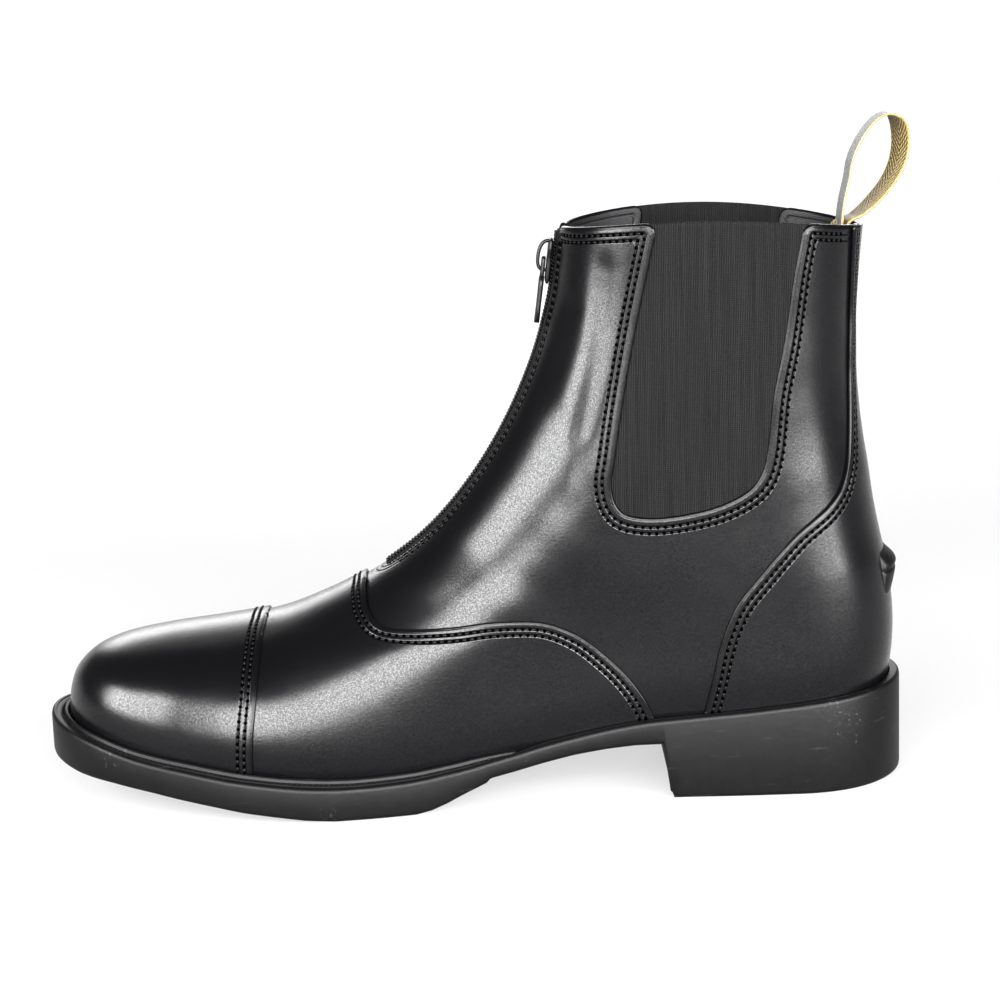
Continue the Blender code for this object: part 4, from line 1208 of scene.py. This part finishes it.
# Spur rest: heights over the counter by row, tapered round the heel towards both ends.
def makeSpurRest(reach=0.255, sink=0.3, columns=61):
    angles = np.linspace(-reach, reach, columns)
    taper = np.clip(1 - (angles / reach) ** 4, 0, 1) ** 0.5
    table = smoothLine(spurRows, 0.4)
    level = np.interp(table[:, 0], backZ, levelAt)
    values = np.stack([a.ravel() for a in np.meshgrid(level, angles, indexing="ij")], 1)
    height = overlay - sink + table[:, 1:] * taper
    points, _ = skin(values, height.ravel())
    faces = gridTriangles(len(table), columns)
    made = makeObject("spur_rest_rubber", points, faces, weltRubber, slot="sole_rubber")
    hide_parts("spur_rest")


makeSpurRest()


# The upper's bottom edge seen from above.
def bottomEdge(angles):
    return shapeAt(np.zeros_like(angles), angles)[:, :2]


# The same moved out sideways.
def planRing(angles, distance):
    along = unit(bottomEdge(angles + 1e-3) - bottomEdge(angles - 1e-3))
    return bottomEdge(angles) + np.stack([-along[:, 1], along[:, 0]], 1) * np.reshape(distance, (-1, 1))


# A ring of the sole at given shares of its length, from the heel along the outer side.
def soleRing(stations, edge, height):
    half = 1440
    dense = np.linspace(0, 2 * math.pi, 2 * half + 1)
    curve = planRing(dense, edge(bottomEdge(dense)[:, 0]))
    heel, toe = curve[:, 0].max(), curve[:, 0].min()
    x = toe + (heel - toe) * stations
    left = np.interp(-x, -curve[: half + 1, 0], curve[: half + 1, 1])
    right = np.interp(x, curve[half:, 0], curve[half:, 1])
    y = np.concatenate([curve[:1, 1], left[1:-1], curve[half : half + 1, 1], right[-2:0:-1]])
    x = np.concatenate([x, x[-2:0:-1]])
    return np.stack([x, y, height(x)], 1)


# A column of the tread's table at x, by straight lines between its rows.
def treadAt(x, column):
    return np.interp(x, [row[0] for row in tread], [row[column] for row in tread])


# Faces across a ring, from side to side.
def ladder(first, count, flip):
    j = np.arange(1, count // 2 - 1)
    quads = np.stack([j, j + 1, count - j - 1, count - j], 1) + first
    far = first + count // 2
    faces = quads.tolist() + [[first, first + 1, first + count - 1], [far, far + 1, far - 1]]
    return [face[::-1] for face in faces] if flip else faces


# Points and faces of rings of one size, with both ends closed from side to side.
def closedRings(layers):
    size = len(layers[0])
    faces = ringQuads(len(layers), size, True).tolist()
    faces += ladder(0, size, False) + ladder((len(layers) - 1) * size, size, True)
    return np.concatenate(layers), faces


soleShape = {
    "stations": 190,
    "apart": 0.0022,  # least distance of a station from a turn of the tread, as a share
    # inward step and how high, as a share between tread and rim and an added height
    "rows": [(1.6, 0.0, 0.0), (0.75, 0.0, 0.3), (0.2, 0.0, 0.8), (0.0, 0.0, 1.6), (0.0, 0.5, 0.0)]
    + [(0.0, 1.0, -1.6), (0.18, 1.0, -0.8), (0.55, 1.0, -0.3), (1.1, 1.0, 0.0)],
}


# Sole: rings from the tread up a slightly rounded side, over the rim and down to the floor.
def makeSole():
    def floor(x):
        return curveAt(foot, 4, x)

    def rim(x):
        return floor(x) + treadAt(x, 2)

    def seat(x):
        return curveAt(foot, 7, x)

    toe, heel = rings[0][0] - foot[0][6], rings[0][2] + foot[-1][6]
    even = (1 + np.cos(np.linspace(0, math.pi, soleShape["stations"]))) / 2
    turns = np.array([(row[0] - toe) / (heel - toe) for row in tread if -60 < row[0] < 70])
    even = even[np.abs(even[:, None] - turns).min(1) > soleShape["apart"]]
    stations = np.sort(np.concatenate([even, turns]))[::-1]
    layers = [
        soleRing(
            stations,
            lambda x: curveAt(foot, 6, x) - inward,
            lambda x: treadAt(x, 1) * (1 - share) + rim(x) * share + more,
        )
        for inward, share, more in soleShape["rows"]
    ]
    layers += [soleRing(stations, seat, height) for height in (rim, floor)]
    made = makeObject("sole", *closedRings(layers), soleRubber, slot="sole_rubber", sharp=38)
    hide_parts("outsole")


makeSole()

weltShape = {
    "stations": 420,
    "end": 13.0,  # x behind which there is none
    "start": gap + 1.35,  # distance from the upper's bottom edge
    "short": 0.1,  # distance from the sole's edge
    "fade": (0.35, 14),  # height left at both ends, and stations over which it grows
    "wide": (-58.0, 6.0, 0.9),  # x in front of which it starts further out, over what length, by how much
    "height": 2.3,
    "bead": (0.2, 0.80, 0.42),  # half width, middle and rise, as shares of width and height
    # shares of width and height, from the bead outwards
    "strip": [(0.44, 0.62), (0.52, 0.55), (0.62, 0.55), (0.70, 0.66)]
    + [(0.80, 0.72), (1.0, 0.70), (1.0, 0.0)],
    "row": (0.57, 8),  # stitches: share of the width, and of the height, and stations left out at the ends
}
weltThread = {**threadShape, "pitch": 1.7, "length": 1.35, "width": 0.42, "height": 0.36}
# smaller black discs of painted stitch-hole shade along the welt
weltThread.update(sink=0.25, hole=0.3)


# Welt: a half-round bead beside the upper, a channel with stitches and a flat outer strip.
def makeWelt():
    shape, count = weltShape, weltShape["stations"]
    dense = np.linspace(0, 2 * math.pi, 1441)
    inside = bottomEdge(dense)[:, 0] < shape["end"]
    angles = np.linspace(dense[inside][0], dense[inside][-1], count)
    x = bottomEdge(angles)[:, 0]
    front, over, more = shape["wide"]
    inner = shape["start"] + more * np.clip((front - x) / over, 0, 1)
    width = curveAt(foot, 7, x) - shape["short"] - inner
    half, middle, rise = shape["bead"]
    bead = [(half + half * math.cos(t), middle + rise * math.sin(t)) for t in np.linspace(math.pi, 0, 9)]
    section = [(0.0, 0.0)] + bead + shape["strip"]
    place = np.arange(count)
    left, fade = shape["fade"]
    end = left + (1 - left) * np.clip(np.minimum(place, count - 1 - place) / fade, 0, 1) ** 0.5

    def layer(share, height):
        plan = planRing(angles, inner + width * share)
        return np.column_stack([plan, bottomAt(plan[:, 0]) + shape["height"] * height])

    points = np.stack([layer(share, height * end) for share, height in section], 1).reshape(-1, 3)
    faces = tubeFaces(count, len(section))
    made = makeObject("welt_strip", points, faces, weltRubber, slot="sole_rubber", sharp=60)
    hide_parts("welt")
    share, short = shape["row"]
    line = layer(share, share)[short:-short]
    up = np.tile([0.0, 0.0, 1.0], (len(line), 1))
    makeStitches("welt_stitches", [stitchMesh(line, up, weltThread)], slot="sole_rubber")


makeWelt()

insoleShape = {
    "inset": wall + 0.6,
    # inward step and height over the upper's bottom edge
    "rows": [(0.1, 0.1), (0.0, 0.5), (0.0, 2.3), (0.3, 2.85), (1.0, 3.1)],
}


# Insole: a flat board with a rounded edge on the floor of the sole.
def makeInsole(count=200):
    angles = np.arange(count) * 2 * math.pi / count
    layers = []
    for inward, high in insoleShape["rows"]:
        ring = planRing(angles, np.full(count, -insoleShape["inset"] - inward))
        layers.append(np.column_stack([ring, bottomAt(ring[:, 0]) + high]))
    made = makeObject("insole_board", *closedRings(layers), boardCloth, slot="insole_board", sharp=50)
    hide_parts("insole")


makeInsole()
print("sole, welt and insole done")

# Floor, lights and camera, in metres and watts
studio = {
    "paper": ((0.08, 0.08, 0.08), 0.95, 0.62),  # colour, roughness and glow
    "fibres": (300.0, 3.0),  # how many in each metre, and detail
    "paperBump": (0.1, 0.0001),
    "halfWidth": (5.0, 1.7),  # of the floor, and of the wall over "wallFrom"
    "wallFrom": 0.5,
    "bend": (2.2, 0.8),  # y where the floor starts to bend up, radius
    "ends": ((-4.0, 0.0), (3.0, 4.0)),
    "gamma": 0.83,
    "world": 0.14,
    # place, target, width and height, power
    "front_box": ((0.1, -1.25, 0.5), (0.0, 0.0, 0.15), (1.9, 0.85), 160.0),
    "toe_box": ((-1.1, -0.62, 0.55), (0.0, 0.0, 0.12), (0.8, 0.8), 66.0),
    "heel_box": ((1.05, -0.8, 0.36), (0.0, 0.0, 0.12), (0.75, 0.65), 54.0),
    "backdrop_light": ((0.0, 1.0, 1.9), (0.0, 3.0, 1.2), (3.0, 0.8), 300.0),
    "far_side": ((0.0, 1.6, 0.62), (0.0, 0.0, 0.1), (1.6, 0.5), 13.0),
    "camera": (0.0103, -0.8, 0.262),
    "down": 11.862,
    "roll": -1.95,
    "lens": (88.74, 36.0),  # and the sensor's width, in millimetres
}
scene = bpy.context.scene


# Floor: a strip that bends up in a quarter circle behind the boot.
def makeFloor():
    colour, roughness, glow = studio["paper"]
    paper, shader, add, put, place = newMaterial("floor_paper", colour, roughness)
    put(shader, {"Emission Color": (1, 1, 1, 1), "Emission Strength": glow})
    fibres = addNoise(add, place, *studio["fibres"])
    put(shader, {"Normal": addBump(add, fibres, *studio["paperBump"])})
    (start, radius), (first, last) = studio["bend"], studio["ends"]
    turn = np.linspace(0, math.pi / 2, 25)
    bend = np.stack([start + radius * np.sin(turn), radius - radius * np.cos(turn)], 1)
    line = np.concatenate([[first], bend, [last]])
    half = np.where(line[:, 1] > studio["wallFrom"], studio["halfWidth"][1], studio["halfWidth"][0])
    points = np.stack([np.column_stack([side * half, line]) for side in (-1, 1)], 1).reshape(-1, 3)
    mesh = bpy.data.meshes.new("floor")
    mesh.from_pydata(points.tolist(), [], [(k, k + 1, k + 3, k + 2) for k in range(0, len(points) - 2, 2)])
    mesh.shade_smooth()
    mesh.materials.append(paper)
    floor = bpy.data.objects.new("floor", mesh)
    scene.collection.objects.link(floor)


makeFloor()
scene.view_settings.view_transform = "Standard"
scene.view_settings.gamma = studio["gamma"]
scene.world = bpy.data.worlds.new("studio")
scene.world.use_nodes = True
background = scene.world.node_tree.nodes["Background"].inputs
background["Color"].default_value = (1, 1, 1, 1)
background["Strength"].default_value = studio["world"]


# A rectangular light that looks at a point: its own axes are right, up and away from it.
def addLight(name, at, target, size, power):
    data = bpy.data.lights.new(name, "AREA")
    data.shape = "RECTANGLE"
    data.size, data.size_y = size
    data.energy = power
    lamp = bpy.data.objects.new(name, data)
    scene.collection.objects.link(lamp)
    away = unit(np.subtract(at, target))
    right = unit(np.cross([0, 0, 1], away))
    axes = np.stack([right, np.cross(away, right), away], 1)
    lamp.matrix_world = Matrix.Translation(at) @ Matrix(axes.tolist()).to_4x4()


for name in ("front_box", "toe_box", "heel_box", "backdrop_light", "far_side"):
    addLight(name, *studio[name])

cameraData = bpy.data.cameras.new("camera")
cameraData.lens, cameraData.sensor_width = studio["lens"]
camera = bpy.data.objects.new("camera", cameraData)
scene.collection.objects.link(camera)
tilt = Matrix.Rotation(math.radians(90 - studio["down"]), 4, "X")
roll = Matrix.Rotation(math.radians(studio["roll"]), 4, "Z")
camera.matrix_world = Matrix.Translation(studio["camera"]) @ tilt @ roll
scene.camera = camera
print("studio done")
